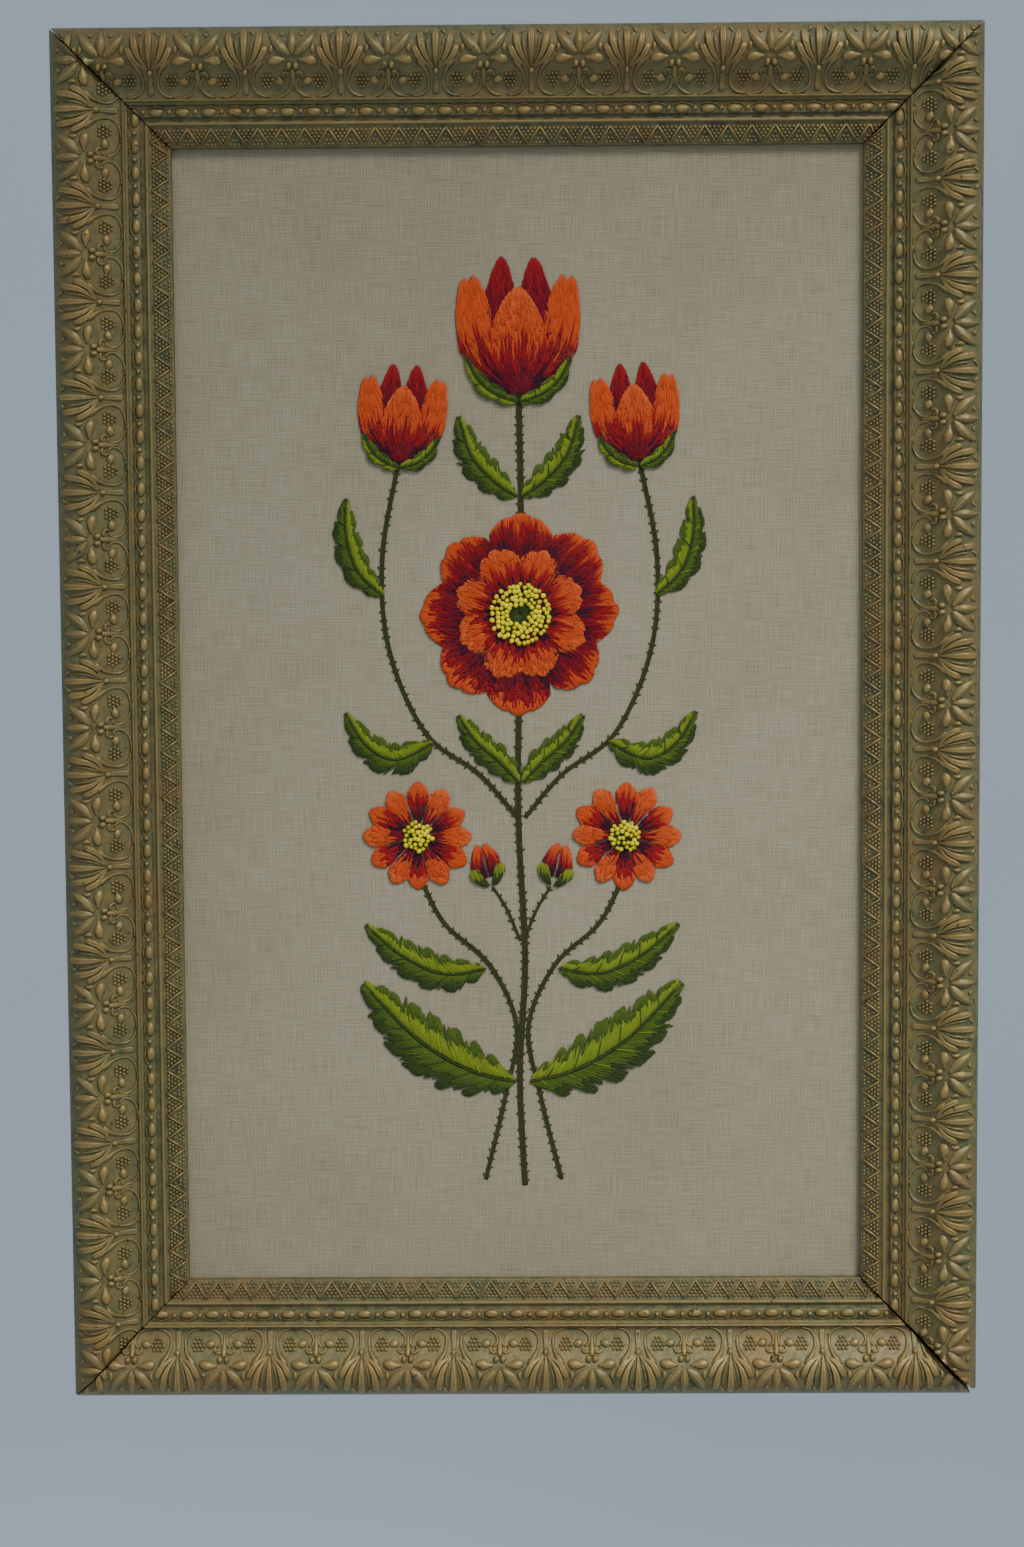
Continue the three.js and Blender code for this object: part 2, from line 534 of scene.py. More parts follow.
# %% [markdown]
# ## Cast ornament
#
# The ornament was pressed in moulds from a putty of chalk and glue, and glued on in strips while soft,
# so one short repeat runs all round the frame. Here one repeat is modelled flat, as if it lay on a
# table: X along the moulding, Y across it, Z up from its face. Every leaf, scroll and petal in it is
# the same kind of form, a line with a width and a height that swell and fade, and a small section that
# says whether its back is round, creased or veined. Berries and beads are low domes.
#
# Bending the flat strip over the moulding comes later, in geometry nodes.

# %% Forms: swept leaves and domes
# The section of a leaf, from side to side: how far over, and which share of the height
ROUND_BACK = ((-1, 0), (-0.68, 0.74), (0, 1), (0.68, 0.74), (1, 0))
LINE_BACK = ((-1, 0), (-0.4, 1), (0.4, 1), (1, 0))
VEINED_BACK = ((-1, 0), (-0.8, 0.62), (-0.3, 0.58), (0, 1), (0.3, 0.58), (0.8, 0.62), (1, 0))
CREASED_BACK = ((-1, 0), (-0.78, 0.72), (-0.42, 1), (0, 0.66), (0.42, 1), (0.78, 0.72), (1, 0))
LIPPED_BACK = ((-1, 0), (-0.35, 0.5), (0.3, 1), (0.75, 0.8), (1, 0))
SINK = 0.9
THINNEST = 0.12
# The rings of a dome: how high, and which share of the radius
LARGE_DOME = ((-SINK, 1.0), (0.15, 1.0), (0.62, 0.8), (0.92, 0.42), (1.0, 0.1))
SMALL_DOME = ((-SINK, 1.0), (0.4, 0.94), (0.9, 0.5))


def curve_through(points, steps):
    """A smooth line through all the points, by Catmull and Rom's rule."""
    points = [np.array(p, float) for p in points]
    padded = [2 * points[0] - points[1]] + points + [2 * points[-1] - points[-2]]
    result = []
    spans = len(points) - 1
    for place in np.linspace(0, spans, steps):
        span = min(int(place), spans - 1)
        t = place - span
        a, b, c, d = padded[span:span + 4]
        result.append(0.5 * (2 * b + (c - a) * t + (2 * a - 5 * b + 4 * c - d) * t ** 2
                             + (3 * b - a - 3 * c + d) * t ** 3))
    return np.array(result)


def headings(line):
    """The direction along a line at each of its points, and the direction to its left."""
    heading = np.gradient(line, axis=0)
    heading /= np.linalg.norm(heading, axis=1)[:, None]
    return heading, np.stack([-heading[:, 1], heading[:, 0]], axis=1)


class Casting:
    """Collects closed forms on the flat and turns them into one mesh."""

    def __init__(self):
        self.points = []
        self.proud = []
        self.faces = []

    def add_rings(self, rings, proud_rings):
        """Join rings of equally many points into one closed form."""
        self.faces += closed_rings(len(self.points), len(rings), len(rings[0]))
        for ring, proud_ring in zip(rings, proud_rings):
            self.points.extend(ring)
            self.proud.extend(proud_ring)

    def add_leaf(self, line, half_width, height, back=ROUND_BACK, tone=1.0, flip=False):
        """A form along a line; half_width and height are functions of the share of its length."""
        if flip:
            back = tuple((-over, up) for over, up in reversed(back))
        line = np.array(line)
        _, side = headings(line)
        rings = []
        proud_rings = []
        for row, t in enumerate(np.linspace(0, 1, len(line))):
            ring = []
            for over, up in back:
                place = line[row] + side[row] * over * half_width(t)
                ring.append((place[0], place[1], up * height(t) if up > 0 else -SINK))
            rings.append(ring)
            wear_and_painted_light = min(1.0, 0.35 + 0.65 * height(t) / 2.0)
            # A form's top gets a high value and its sides and sunk foot a low one: rubbed gold, and also a
            # painted highlight on top and painted shade at the foot.
            proud_rings.append([tone * up ** 1.6 * wear_and_painted_light for _, up in back])
        self.add_rings(rings, proud_rings)

    def add_dome(self, centre, radius, height, sides=8, tone=1.0, rings=LARGE_DOME):
        """A low dome, round or oval."""
        radii = radius if isinstance(radius, tuple) else (radius, radius)
        angles = [2 * math.pi * i / sides for i in range(sides)]
        places = []
        proud_rings = []
        for level, spread in rings:
            ring = []
            for angle in angles:
                along = centre[0] + radii[0] * spread * math.cos(angle)
                across = centre[1] + radii[1] * spread * math.sin(angle)
                ring.append((along, across, level if level < 0 else level * height))
            places.append(ring)
            # The top of a dome gets a high value and its sunk foot nought: rubbed gold, and also a painted
            # highlight on top and painted shade round the foot.
            proud_rings.append([tone * max(0.0, level)] * sides)
        self.add_rings(places, proud_rings)

    def add_mirrored(self, axis, build):
        """Build a form twice, the second time mirrored about a line across the moulding."""
        for sign in (1, -1):
            build(lambda along, over: (axis + sign * along, over), sign)

    def to_object(self, name):
        """The forms as a hidden flat mesh in metres, for the geometry nodes to repeat."""
        points = np.array(self.points)
        flat = np.stack([points[:, 0], run_at(points[:, 1]), points[:, 2]], axis=1) * MM
        mesh = new_mesh(name, flat.tolist(), self.faces, outward=True)
        keep_values(mesh, "proud", self.proud)
        return bpy.data.objects.new(name, mesh)


def swelling(small, large, peak):
    """A width that grows from small to large at the peak and then closes in a round end."""
    def width(t):
        if t < peak:
            x = t / peak
            return small + (large - small) * x * x * (3 - 2 * x)
        return max(THINNEST, large * math.sqrt(max(0.0, 1 - ((t - peak) / (1 - peak)) ** 2)))
    return width


def pointed(small, large, peak):
    """A width that grows from small to large at the peak and then runs out in a point."""
    def width(t):
        if t < peak:
            return small + (large - small) * math.sin(math.pi / 2 * t / peak)
        return max(THINNEST, large * math.cos(math.pi / 2 * (t - peak) / (1 - peak)) ** 0.8)
    return width


def tailed(thick, thin):
    """A width that starts thick at the tail, soon runs thin, and fades at the end."""
    def width(t):
        start = math.sin(math.pi / 2 * min(1.0, t / 0.07))
        end = math.sin(math.pi / 2 * min(1.0, (1 - t) / 0.08))
        body = thin + (thick - thin) * math.exp(-((t - 0.06) / 0.12) ** 2)
        return max(THINNEST, body * start * (0.4 + 0.6 * end))
    return width


def even(size, fade=0.12):
    """A width or height that stays the same but for its two faded ends."""
    def width(t):
        edge = min(t, 1 - t) / fade
        return size * (0.3 + 0.7 * math.sin(math.pi / 2 * min(1.0, edge)))
    return width


# %% [markdown]
# The repeat of the outer band is 62.5 mm long. At its ends stand leaf fans with five creased fingers
# and thin leaves between them, in its middle a flower that hangs outwards with three veined petals,
# and between them two scrolls, each round a sprig of berries. The tail of each scroll lies beside the
# fan like one more finger. Places below are millimetres from the fan's axis and from the outer edge.

# %% One repeat of the leaf band
BAND_REPEAT = 62.5
FAN_FOOT = 28.4
MIDDLE_FINGER = (1.2, 2.8, 2.8)  # end across, half width, height
SIDE_FINGERS = (
    # end along, end across, bend, half width, height
    (10.8, 3.6, 1.9, 2.7, 3.0),
    (14.8, 12.6, 1.8, 2.5, 2.8),
)
THIN_LEAF_ENDS = ((5.9, 6.2), (11.6, 10.2))
SCROLL = (
    (13.2, 21.8), (9.8, 24.8), (7.0, 28.4), (5.4, 32.6), (5.4, 37.4), (8.0, 41.4), (12.8, 43.4),
    (18.8, 43.9), (24.0, 42.8), (27.8, 39.8), (29.3, 36.4), (28.4, 33.4), (26.0, 32.4),
)
BERRY_PLACE = (13.8, 33.6)
BERRY_ROWS = (3, 4, 3, 2)
BERRY_PITCH = 2.55


def bowed(place, start, end, bow, steps):
    """A line from start to end whose middle is moved along and across by bow."""
    halfway = ((start[0] + end[0]) / 2 + bow[0], (start[1] + end[1]) / 2 + bow[1])
    return curve_through([place(*start), place(*halfway), place(*end)], steps)


def fan(cast):
    """A leaf fan of five fingers on a stalk, with a ball at its foot and thin leaves in between."""
    def side(place, sign):
        for along, across, bend, half_width, height in SIDE_FINGERS:
            line = bowed(place, (0.9, FAN_FOOT - 1.2), (along, across), (bend, bend * 0.9), 13)
            cast.add_leaf(line, swelling(0.8, half_width, 0.74), swelling(1.1, height, 0.7), CREASED_BACK)
        for end in THIN_LEAF_ENDS:
            line = bowed(place, (1.2, FAN_FOOT - 3.0), end, (0.9, 1.0), 9)
            cast.add_leaf(line, pointed(0.5, 1.1, 0.7), pointed(0.6, 1.3, 0.7), tone=0.6)
        tip = curve_through([place(3.6, 3.2), place(5.4, 4.2), place(7.0, 6.6)], 7)
        cast.add_leaf(tip, pointed(0.5, 1.2, 0.5), pointed(0.5, 1.4, 0.5), tone=0.85)

    cast.add_mirrored(0.0, side)
    across, half_width, height = MIDDLE_FINGER
    spine = curve_through([(0, FAN_FOOT - 1.0), (0, 16), (0, across)], 13)
    cast.add_leaf(spine, swelling(0.8, half_width, 0.78), swelling(1.2, height, 0.7), CREASED_BACK)
    cast.add_dome((0, FAN_FOOT + 0.4), 2.1, 2.9, sides=10)
    stalk = curve_through([(0, FAN_FOOT + 2.0), (0, 36), (0, 43.4)], 10)
    cast.add_leaf(stalk, swelling(1.7, 2.4, 0.85), swelling(1.0, 1.3, 0.8), CREASED_BACK, tone=0.8)


def scrolls(cast):
    """The lipped scroll on both sides of the fan, each round berries and a pear-shaped bud."""
    def side(place, sign):
        line = curve_through([place(*p) for p in SCROLL], 31)
        cast.add_leaf(line, tailed(2.5, 1.35), tailed(2.3, 1.25), back=LIPPED_BACK, tone=0.8, flip=sign < 0)
        for row, count in enumerate(BERRY_ROWS):
            for i in range(count):
                along = BERRY_PLACE[0] + (i - (count - 1) / 2) * BERRY_PITCH
                over = BERRY_PLACE[1] + (row - 1.3) * BERRY_PITCH * 0.88
                cast.add_dome(place(along, over), 1.2, 1.7, sides=7, tone=0.75, rings=SMALL_DOME)
        bud = curve_through([place(18.4, 33.4), place(22.0, 34.2), place(25.6, 34.8)], 9)
        cast.add_leaf(bud, swelling(1.3, 3.1, 0.45), swelling(1.0, 2.3, 0.45))

    cast.add_mirrored(0.0, side)


def hanging_flower(cast):
    """The flower between two fans, its petals towards the outer edge."""
    middle = BAND_REPEAT / 2

    def side(place, sign):
        petal = curve_through([place(1.4, 19.0), place(8.4, 12.6), place(15.4, 3.4)], 14)
        cast.add_leaf(petal, pointed(1.2, 3.7, 0.45), pointed(1.1, 3.0, 0.5), back=VEINED_BACK)
        drop = curve_through([place(4.2, 21.4), place(10.6, 21.8), place(16.8, 23.0)], 12)
        cast.add_leaf(drop, swelling(1.1, 3.7, 0.55), swelling(1.2, 2.9, 0.55))
        cast.add_dome(place(2.3, 25.0), (2.1, 2.3), 3.0, sides=10)
        cast.add_dome(place(2.6, 18.0), 0.95, 2.0, sides=6, rings=SMALL_DOME)
        curl = curve_through([place(1.4, 29.4), place(4.6, 28.6), place(6.6, 30.4), place(5.4, 32.8)], 12)
        cast.add_leaf(curl, even(1.0), even(1.5), tone=0.85)
        leaf = curve_through([place(14.4, 18.0), place(13.4, 14.8), place(14.4, 11.4)], 9)
        cast.add_leaf(leaf, pointed(0.5, 1.7, 0.5), pointed(0.6, 1.7, 0.5))
        tip = curve_through([place(4.8, 3.4), place(6.6, 6.0), place(8.6, 4.0)], 7)
        cast.add_leaf(tip, pointed(0.5, 1.1, 0.5), pointed(0.5, 1.3, 0.5), tone=0.85)

    cast.add_mirrored(middle, side)
    petal = curve_through([(middle, 18.6), (middle, 10.6), (middle, 1.2)], 14)
    cast.add_leaf(petal, pointed(1.2, 3.3, 0.45), pointed(1.1, 3.0, 0.5), back=VEINED_BACK)
    neck = curve_through([(middle, 26.6), (middle, 32), (middle, 40.6)], 10)
    cast.add_leaf(neck, pointed(1.6, 2.4, 0.35), pointed(1.3, 1.9, 0.3), tone=0.85)


def leaf_band_repeat():
    """The flat casting of one repeat, centred on a fan."""
    cast = Casting()
    fan(cast)
    scrolls(cast)
    hanging_flower(cast)
    return cast


band_motif = leaf_band_repeat().to_object("leaf_band_repeat")
print("leaf band repeat:", len(band_motif.data.vertices), "points,", len(band_motif.data.polygons), "faces")

# %% [markdown]
# The egg and bead row and the zigzag band are much finer repeats of the same sort. An egg lies
# in a shallow cup between two beads. The zigzag is a thin raised line; the triangles that stand on its
# outer side are filled with rows of dots, four to one, those on the sight side with five dots and an
# oval.

# %% One egg and bead, and one zigzag
EGG_REPEAT = 17.3
EGG_LINE = 53.2
ZIGZAG_REPEAT = 15.5
ZIGZAG_OUTER = 63.6
ZIGZAG_INNER = 74.3


def egg_repeat():
    """An egg, the bead beside it, and the scalloped line that runs round their outer side."""
    cast = Casting()
    half = EGG_REPEAT / 2
    cast.add_dome((0, EGG_LINE), (5.3, 3.1), 2.6, sides=12, tone=0.85)
    cast.add_dome((half, EGG_LINE - 0.3), 1.85, 2.9, sides=10)
    scallop = curve_through([
        (-half + 1.9, EGG_LINE - 1.6), (-5.8, EGG_LINE - 2.8), (-3.2, EGG_LINE - 3.8), (0, EGG_LINE - 4.2),
        (3.2, EGG_LINE - 3.8), (5.8, EGG_LINE - 2.8), (half - 1.9, EGG_LINE - 1.6),
    ], 13)
    cast.add_leaf(scallop, lambda t: 0.5, lambda t: 1.4, LINE_BACK, tone=0.75)
    return cast


def add_dots(cast, rows, first, row_step, pitch, radius, height, tone):
    """A triangle of dots: the number in each row, the middle of the first row, and the steps."""
    for row, dots in enumerate(rows):
        for dot in range(dots):
            place = (first[0] + (dot - (dots - 1) / 2) * pitch, first[1] + row * row_step)
            cast.add_dome(place, radius, height, sides=6, tone=tone, rings=SMALL_DOME)


def zigzag_repeat():
    """Two strokes of the zigzag line and the dots between them."""
    cast = Casting()
    half = ZIGZAG_REPEAT / 2
    ends = ((-half, ZIGZAG_OUTER), (0, ZIGZAG_INNER), (half, ZIGZAG_OUTER))
    for first, last in (ends[:2], ends[1:]):
        stroke = np.array(last) - np.array(first)
        line = [np.array(first) + stroke * t for t in np.linspace(-0.02, 1.02, 3)]
        cast.add_leaf(line, lambda t: 0.85, lambda t: 1.7, LINE_BACK)
    add_dots(cast, (4, 3, 2, 1), (0, ZIGZAG_OUTER + 1.2), 2.05, 2.9, 1.08, 1.6, 0.9)
    cast.add_dome((half, ZIGZAG_OUTER + 4.4), (1.4, 0.9), 1.3, sides=6, tone=0.65, rings=SMALL_DOME)
    add_dots(cast, (3, 2), (half, ZIGZAG_INNER - 0.7), -2.3, 2.6, 1.05, 1.3, 0.8)
    return cast


egg_motif = egg_repeat().to_object("egg_and_bead_repeat")
zigzag_motif = zigzag_repeat().to_object("zigzag_repeat")
print("egg repeat:", len(egg_motif.data.polygons), "faces")
print("zigzag repeat:", len(zigzag_motif.data.polygons), "faces")

# %% [markdown]
# ## Repeating and bending, with geometry nodes
#
# One node tree does for all three bands and all four lengths. It sets a row of points at the repeat,
# puts the flat casting on each, and makes real geometry of them. Then it bends the strip: a point's Y
# says how far along the section's face it lies, so the section, given as a curve, is sampled at that
# length; its Z is laid off square to the face there. Last, whatever runs past a mitre is pressed
# flat against the mitre's plane, as if sawn. The named inputs hold the sizes, and a fixed seed gives
# each cast its own small difference in tone.


# %% The node tree "ornament_along_rail"
def section_curve():
    """The section's face as a curve object that the nodes can sample."""
    curve = bpy.data.curves.new("section_face", "CURVE")
    spline = curve.splines.new("POLY")
    spline.points.add(len(face_line) - 1)
    for point, (across, out) in zip(spline.points, face_line):
        point.co = (across * MM, out * MM, 0, 1)
    curve.dimensions = "3D"
    return bpy.data.objects.new("section_face", curve)


def new_tree(name, inputs):
    """An empty geometry node tree; returns it, the values that it is given, and its output node.

    Each input is a label, a kind, and a value unless it is set anew whenever the tree is run.
    """
    tree = bpy.data.node_groups.new(name, "GeometryNodeTree")
    tree.interface.new_socket("Geometry", in_out="INPUT", socket_type="NodeSocketGeometry")
    for label, kind, *value in inputs:
        socket = tree.interface.new_socket(label, in_out="INPUT", socket_type="NodeSocket" + kind)
        if value:
            socket.default_value = value[0]
    tree.interface.new_socket("Geometry", in_out="OUTPUT", socket_type="NodeSocketGeometry")
    given = tree.nodes.new("NodeGroupInput")
    return tree, given.outputs, tree.nodes.new("NodeGroupOutput")


def object_geometry(tree, source):
    """The mesh or curve of an object that a tree is given."""
    return add_node(tree, "GeometryNodeObjectInfo", {"Object": source}).outputs["Geometry"]


def random_number(tree, seed, smallest=0.0, largest=1.0):
    """A random number for each point, the same ones each time for the same seed."""
    inputs = {2: smallest, 3: largest, "Seed": seed}
    return add_node(tree, "FunctionNodeRandomValue", inputs, data_type="FLOAT").outputs[1]


def with_random_tone(tree, copies, name, seed):
    """Copies that each keep a random tone between 0 and 1 under a name."""
    return add_node(
        tree, "GeometryNodeStoreNamedAttribute",
        {"Geometry": copies, "Name": name, "Value": random_number(tree, seed)},
        data_type="FLOAT", domain="INSTANCE",
    ).outputs[0]


def realized(tree, copies):
    """Copies made into geometry of their own."""
    return add_node(tree, "GeometryNodeRealizeInstances", {"Geometry": copies}).outputs[0]


def finish_tree(tree, result, geometry, material):
    """Give the geometry its material and hand it out."""
    dressed = add_node(tree, "GeometryNodeSetMaterial", {"Geometry": geometry, "Material": material})
    tree.links.new(dressed.outputs[0], result.inputs[0])


def ornament_tree():
    """Rows of castings, bent over the section and cut at the mitres."""
    tree, value, result = new_tree("ornament_along_rail", (
        ("Casting", "Object"),
        ("Section", "Object"),
        ("Paint", "Material"),
        ("Count", "Int"),
        ("First", "Float"),
        ("Repeat", "Float"),
        ("Length", "Float"),
        ("Start cut", "Float"),
        ("Start slope", "Float"),
        ("End cut", "Float"),
        ("End slope", "Float"),
        ("Seed", "Int", 3),
    ))
    row = add_node(tree, "GeometryNodeMeshLine", {
        "Count": value["Count"],
        "Start Location": combined(tree, X=value["First"]),
        "Offset": combined(tree, X=value["Repeat"]),
    })
    copies = add_node(tree, "GeometryNodeInstanceOnPoints", {
        "Points": row.outputs[0], "Instance": object_geometry(tree, value["Casting"]),
    })
    toned = with_random_tone(tree, copies.outputs[0], "cast_tone", value["Seed"])

    flat = separated(tree, add_node(tree, "GeometryNodeInputPosition").outputs[0])
    sample = add_node(tree, "GeometryNodeSampleCurve", {
        "Curves": object_geometry(tree, value["Section"]), "Length": flat["Y"],
    }, mode="LENGTH")
    foot = separated(tree, sample.outputs["Position"])
    run = separated(tree, sample.outputs["Tangent"])
    across = math_node(tree, "SUBTRACT", foot["X"], math_node(tree, "MULTIPLY", run["Y"], flat["Z"]))
    out = math_node(tree, "MULTIPLY_ADD", run["X"], flat["Z"], foot["Y"])

    low = math_node(tree, "MULTIPLY_ADD", across, value["Start slope"], value["Start cut"])
    far = math_node(tree, "MULTIPLY_ADD", across, value["End slope"], value["End cut"])
    high = math_node(tree, "SUBTRACT", value["Length"], far)
    along = math_node(tree, "MINIMUM", math_node(tree, "MAXIMUM", flat["X"], low), high)
    place = combined(tree, X=along, Y=math_node(tree, "MULTIPLY", out, -1.0), Z=across)
    bent = add_node(tree, "GeometryNodeSetPosition", {"Geometry": realized(tree, toned), "Position": place})
    finish_tree(tree, result, bent.outputs[0], value["Paint"])
    return tree


def run_tree(tree, name, settings, start_mesh=None):
    """Evaluate a tree on an object once and return the result as a plain mesh."""
    holder = bpy.data.objects.new(name, start_mesh or bpy.data.meshes.new(name + "_start"))
    bpy.context.collection.objects.link(holder)
    modifier = holder.modifiers.new("nodes", "NODES")
    modifier.node_group = tree
    for item in tree.interface.items_tree:
        if item.item_type == "SOCKET" and item.in_out == "INPUT" and item.name in settings:
            modifier[item.identifier] = settings[item.name]
    depsgraph = bpy.context.evaluated_depsgraph_get()
    mesh = bpy.data.meshes.new_from_object(holder.evaluated_get(depsgraph), depsgraph=depsgraph)
    mesh.name = name
    bpy.data.objects.remove(holder)
    return mesh


along_rail = ornament_tree()
section_object = section_curve()
print("tree", along_rail.name, "has", len(along_rail.nodes), "nodes")

# %% [markdown]
# ## Bronze paint
#
# The frame is not leafed but painted: a dull bronze gold, rubbed bright on whatever stands proud, over
# a grey green wash that has settled in the hollows. In some places the gold has gone brown or green,
# and small chips show dark. So the colour follows the attribute "proud" that every mesh above carries,
# disturbed by smears, by a finer grain and by a little difference from one cast to the next. Through
# that attribute the paint also holds painted light and shade: dark in the grooves and round the feet
# of the forms, where shade gathers, and bright on their crests. The back and the rebate were never
# painted and show old pine.


# %% Paint
def bronze_paint():
    """Gold on the proud places, green grey in the hollows, brown and green patches, fine chips."""
    material, tree, shader = new_material("bronze_paint", {})
    where = object_place(tree)
    brown_patches = noise(tree, where, 19, detail=4, roughness=0.6)
    green_patches = noise(tree, where, 46, detail=4, roughness=0.6)
    smears = noise(tree, where, 90, detail=4, roughness=0.6)
    grain = noise(tree, where, 260, detail=3, roughness=0.6)
    specks = noise(tree, where, 700, detail=2)
    chips = noise(tree, where, 240, detail=1)

    # Wear and painted light together: the grooves and the feet of the forms come out dark as painted shade,
    # the crests bright as painted highlight.
    wear_and_painted_light = swing(tree, smears, 0.8, attribute(tree, "proud"))
    wear_and_painted_light = swing(tree, grain, 0.7, wear_and_painted_light)
    wear_and_painted_light = swing(tree, attribute(tree, "cast_tone"), 0.12, wear_and_painted_light)
    colour = colour_steps(
        tree, wear_and_painted_light,
        (0.0, 58, 60, 35), (0.20, 95, 92, 56), (0.48, 122, 110, 66),
        (0.80, 137, 117, 68), (1.0, 153, 131, 80),
    )
    brown_share = in_range(tree, brown_patches, 0.46, 0.68, 0.0, 0.45)
    colour = mix_colour(tree, brown_share, colour, from_photo(124, 92, 50))
    green_share = in_range(tree, green_patches, 0.46, 0.68, 0.0, 0.55)
    green_share = math_node(tree, "MULTIPLY", green_share, in_range(tree, wear_and_painted_light, 0.7, 0.1))
    colour = mix_colour(tree, green_share, colour, from_photo(80, 92, 54))
    colour = mix_colour(tree, in_range(tree, chips, 0.72, 0.75, 0.0, 0.8), colour, from_photo(56, 42, 30))

    tree.links.new(in_range(tree, wear_and_painted_light, to_low=0.05, to_high=0.4), shader.inputs["Metallic"])
    tree.links.new(in_range(tree, smears, to_low=0.38, to_high=0.58), shader.inputs["Roughness"])
    height = math_node(tree, "MULTIPLY_ADD", specks, 0.25, grain)
    height = math_node(tree, "MULTIPLY_ADD", smears, 1.6, height)
    finish_material(tree, shader, colour, height, 0.0007)
    return material


def bare_pine():
    """The unpainted back of the moulding: old softwood with its grain along the length."""
    material, tree, shader = new_material("bare_pine", {"Roughness": 0.78, "Specular IOR Level": 0.25})
    where = attribute(tree, "rail_place", "Vector")
    grain = noise(tree, where, 1.0, detail=4, roughness=0.6, stretch=(9, 260, 260))
    grime = noise(tree, where, 14, detail=3)
    wood = colour_steps(tree, grain, (0.30, 112, 84, 54), (0.50, 142, 112, 74), (0.70, 164, 134, 94))
    colour = mix_colour(tree, grime, wood, tinted(tree, wood, 0.62, 0.58, 0.52))
    finish_material(tree, shader, colour, grain, 0.0004, strength=0.4)
    return material


paint = bronze_paint()
pine = bare_pine()

# %% [markdown]
# Now the four lengths get their ornament. Each band starts at its own first repeat, because the strips
# were cut to run through at the corners without matching there, and that is how they look on the real
# frame.

# %% Dress each length
BANDS = (
    # name, casting, repeat, how far in it starts, one repeat's place on the length
    ("leaf_band", band_motif, BAND_REPEAT, 0.0, None),
    ("egg_and_bead", egg_motif, EGG_REPEAT, EGG_LINE - 3.0, 6.0),
    ("zigzag", zigzag_motif, ZIGZAG_REPEAT, ZIGZAG_OUTER, 3.0),
)
PAST_MITRE = 0.55  # how much of a repeat may run past a mitre, where the nodes press it flat


def dress_rail(node, rail):
    """One length of moulding and the three bands of ornament on it."""
    place = rail_place(rail)
    start, start_slope = mitre_line(rail["start"])
    end, end_slope = mitre_line(rail["end"])
    moulding = plain_length(node + "_moulding", rail)
    moulding.transform(place)
    moulding.materials.append(paint)
    moulding.materials.append(pine)
    pieces = [link_piece(node + "_moulding", moulding)]
    for band, casting, repeat, nearest, first in BANDS:
        first = rail["first"] if first is None else first
        reach = nearest - repeat * PAST_MITRE
        begin = first + math.ceil((reach - first) / repeat) * repeat
        count = int((rail["length"] - reach - begin) / repeat) + 1
        mesh = run_tree(along_rail, node + "_" + band, {
            "Casting": casting, "Section": section_object, "Paint": paint,
            "Count": count, "First": begin * MM, "Repeat": repeat * MM, "Length": rail["length"] * MM,
            "Start cut": start * MM, "Start slope": start_slope,
            "End cut": end * MM, "End slope": end_slope,
        })
        mesh.transform(place)
        pieces.append(link_piece(node + "_" + band, mesh))
    for piece in pieces:
        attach(piece, "root")
        print("  ", piece.name, triangles(piece.data), "triangles")
    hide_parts(node)


for node, rail in RAILS.items():
    dress_rail(node, rail)

# %% [markdown]
# ## The linen
#
# One flat piece of natural linen, stretched drum tight over a board. It is a grid of eight millimetre
# squares with a thickness, and its front moves in and out by less than a third of a millimetre. The
# weave itself is too fine to model: warp and weft go into the material as two crossed waves, each a
# little uneven, with the thick places called slubs laid over them.

# %% Linen sheet
linen_width = (linen_high[0] - linen_low[0]) / MM
linen_height = (linen_high[2] - linen_low[2]) / MM
linen_thickness = (linen_high[1] - linen_low[1]) / MM
linen_place = (0, -linen_front * MM, picture_middle * MM)
picture_plane = Matrix.Translation(linen_place) @ Matrix.Rotation(math.radians(90), 4, "X")
SHARP_LINEN_EDGE = 40
LINEN_WAVES = 0.11
CALM_EDGE = 8
CALM_FADE = 40


def soft_waves(x, y, count, longest, shortest, seed):
    """A smooth uneven surface: a few sine waves in random directions."""
    random = np.random.default_rng(seed)
    total = np.zeros_like(np.asarray(x, float))
    for _ in range(count):
        angle = random.uniform(0, 2 * math.pi)
        wave = random.uniform(shortest, longest)
        phase = random.uniform(0, 2 * math.pi)
        total += np.sin(2 * math.pi * (x * math.cos(angle) + y * math.sin(angle)) / wave + phase)
    return total / math.sqrt(count)


def linen_sheet(square=8.0):
    """The stretched cloth as a closed thin sheet, flat at its edges."""
    columns = int(linen_width / square)
    rows = int(linen_height / square)
    xs = np.linspace(-linen_width / 2, linen_width / 2, columns + 1)
    ys = np.linspace(-linen_height / 2, linen_height / 2, rows + 1)
    grid_x, grid_y = np.meshgrid(xs, ys)
    edge = np.minimum(linen_width / 2 - abs(grid_x), linen_height / 2 - abs(grid_y))
    calm = np.clip((edge - CALM_EDGE) / CALM_FADE, 0, 1)
    waves = soft_waves(grid_x, grid_y, count=9, longest=160, shortest=50, seed=5)
    lift = LINEN_WAVES * waves * calm
    front = np.stack([grid_x, grid_y, lift], axis=-1).reshape(-1, 3)
    back = np.stack([grid_x, grid_y, lift - linen_thickness], axis=-1).reshape(-1, 3)
    per_row = columns + 1
    count = len(front)
    faces = []
    for row in range(rows):
        for column in range(columns):
            a = row * per_row + column
            faces.append((a, a + 1, a + per_row + 1, a + per_row))
            faces.append((count + a, count + a + per_row, count + a + per_row + 1, count + a + 1))
    rim = list(range(per_row))
    rim += [row * per_row + columns for row in range(1, rows + 1)]
    rim += [rows * per_row + column for column in range(columns - 1, -1, -1)]
    rim += [row * per_row for row in range(rows - 1, 0, -1)]
    for a, b in zip(rim, rim[1:] + rim[:1]):
        faces.append((b, a, count + a, count + b))
    mesh = new_mesh("linen", (np.concatenate([front, back]) * MM).tolist(), faces)
    mesh.set_sharp_from_angle(angle=math.radians(SHARP_LINEN_EDGE))
    mesh.transform(picture_plane)
    return mesh


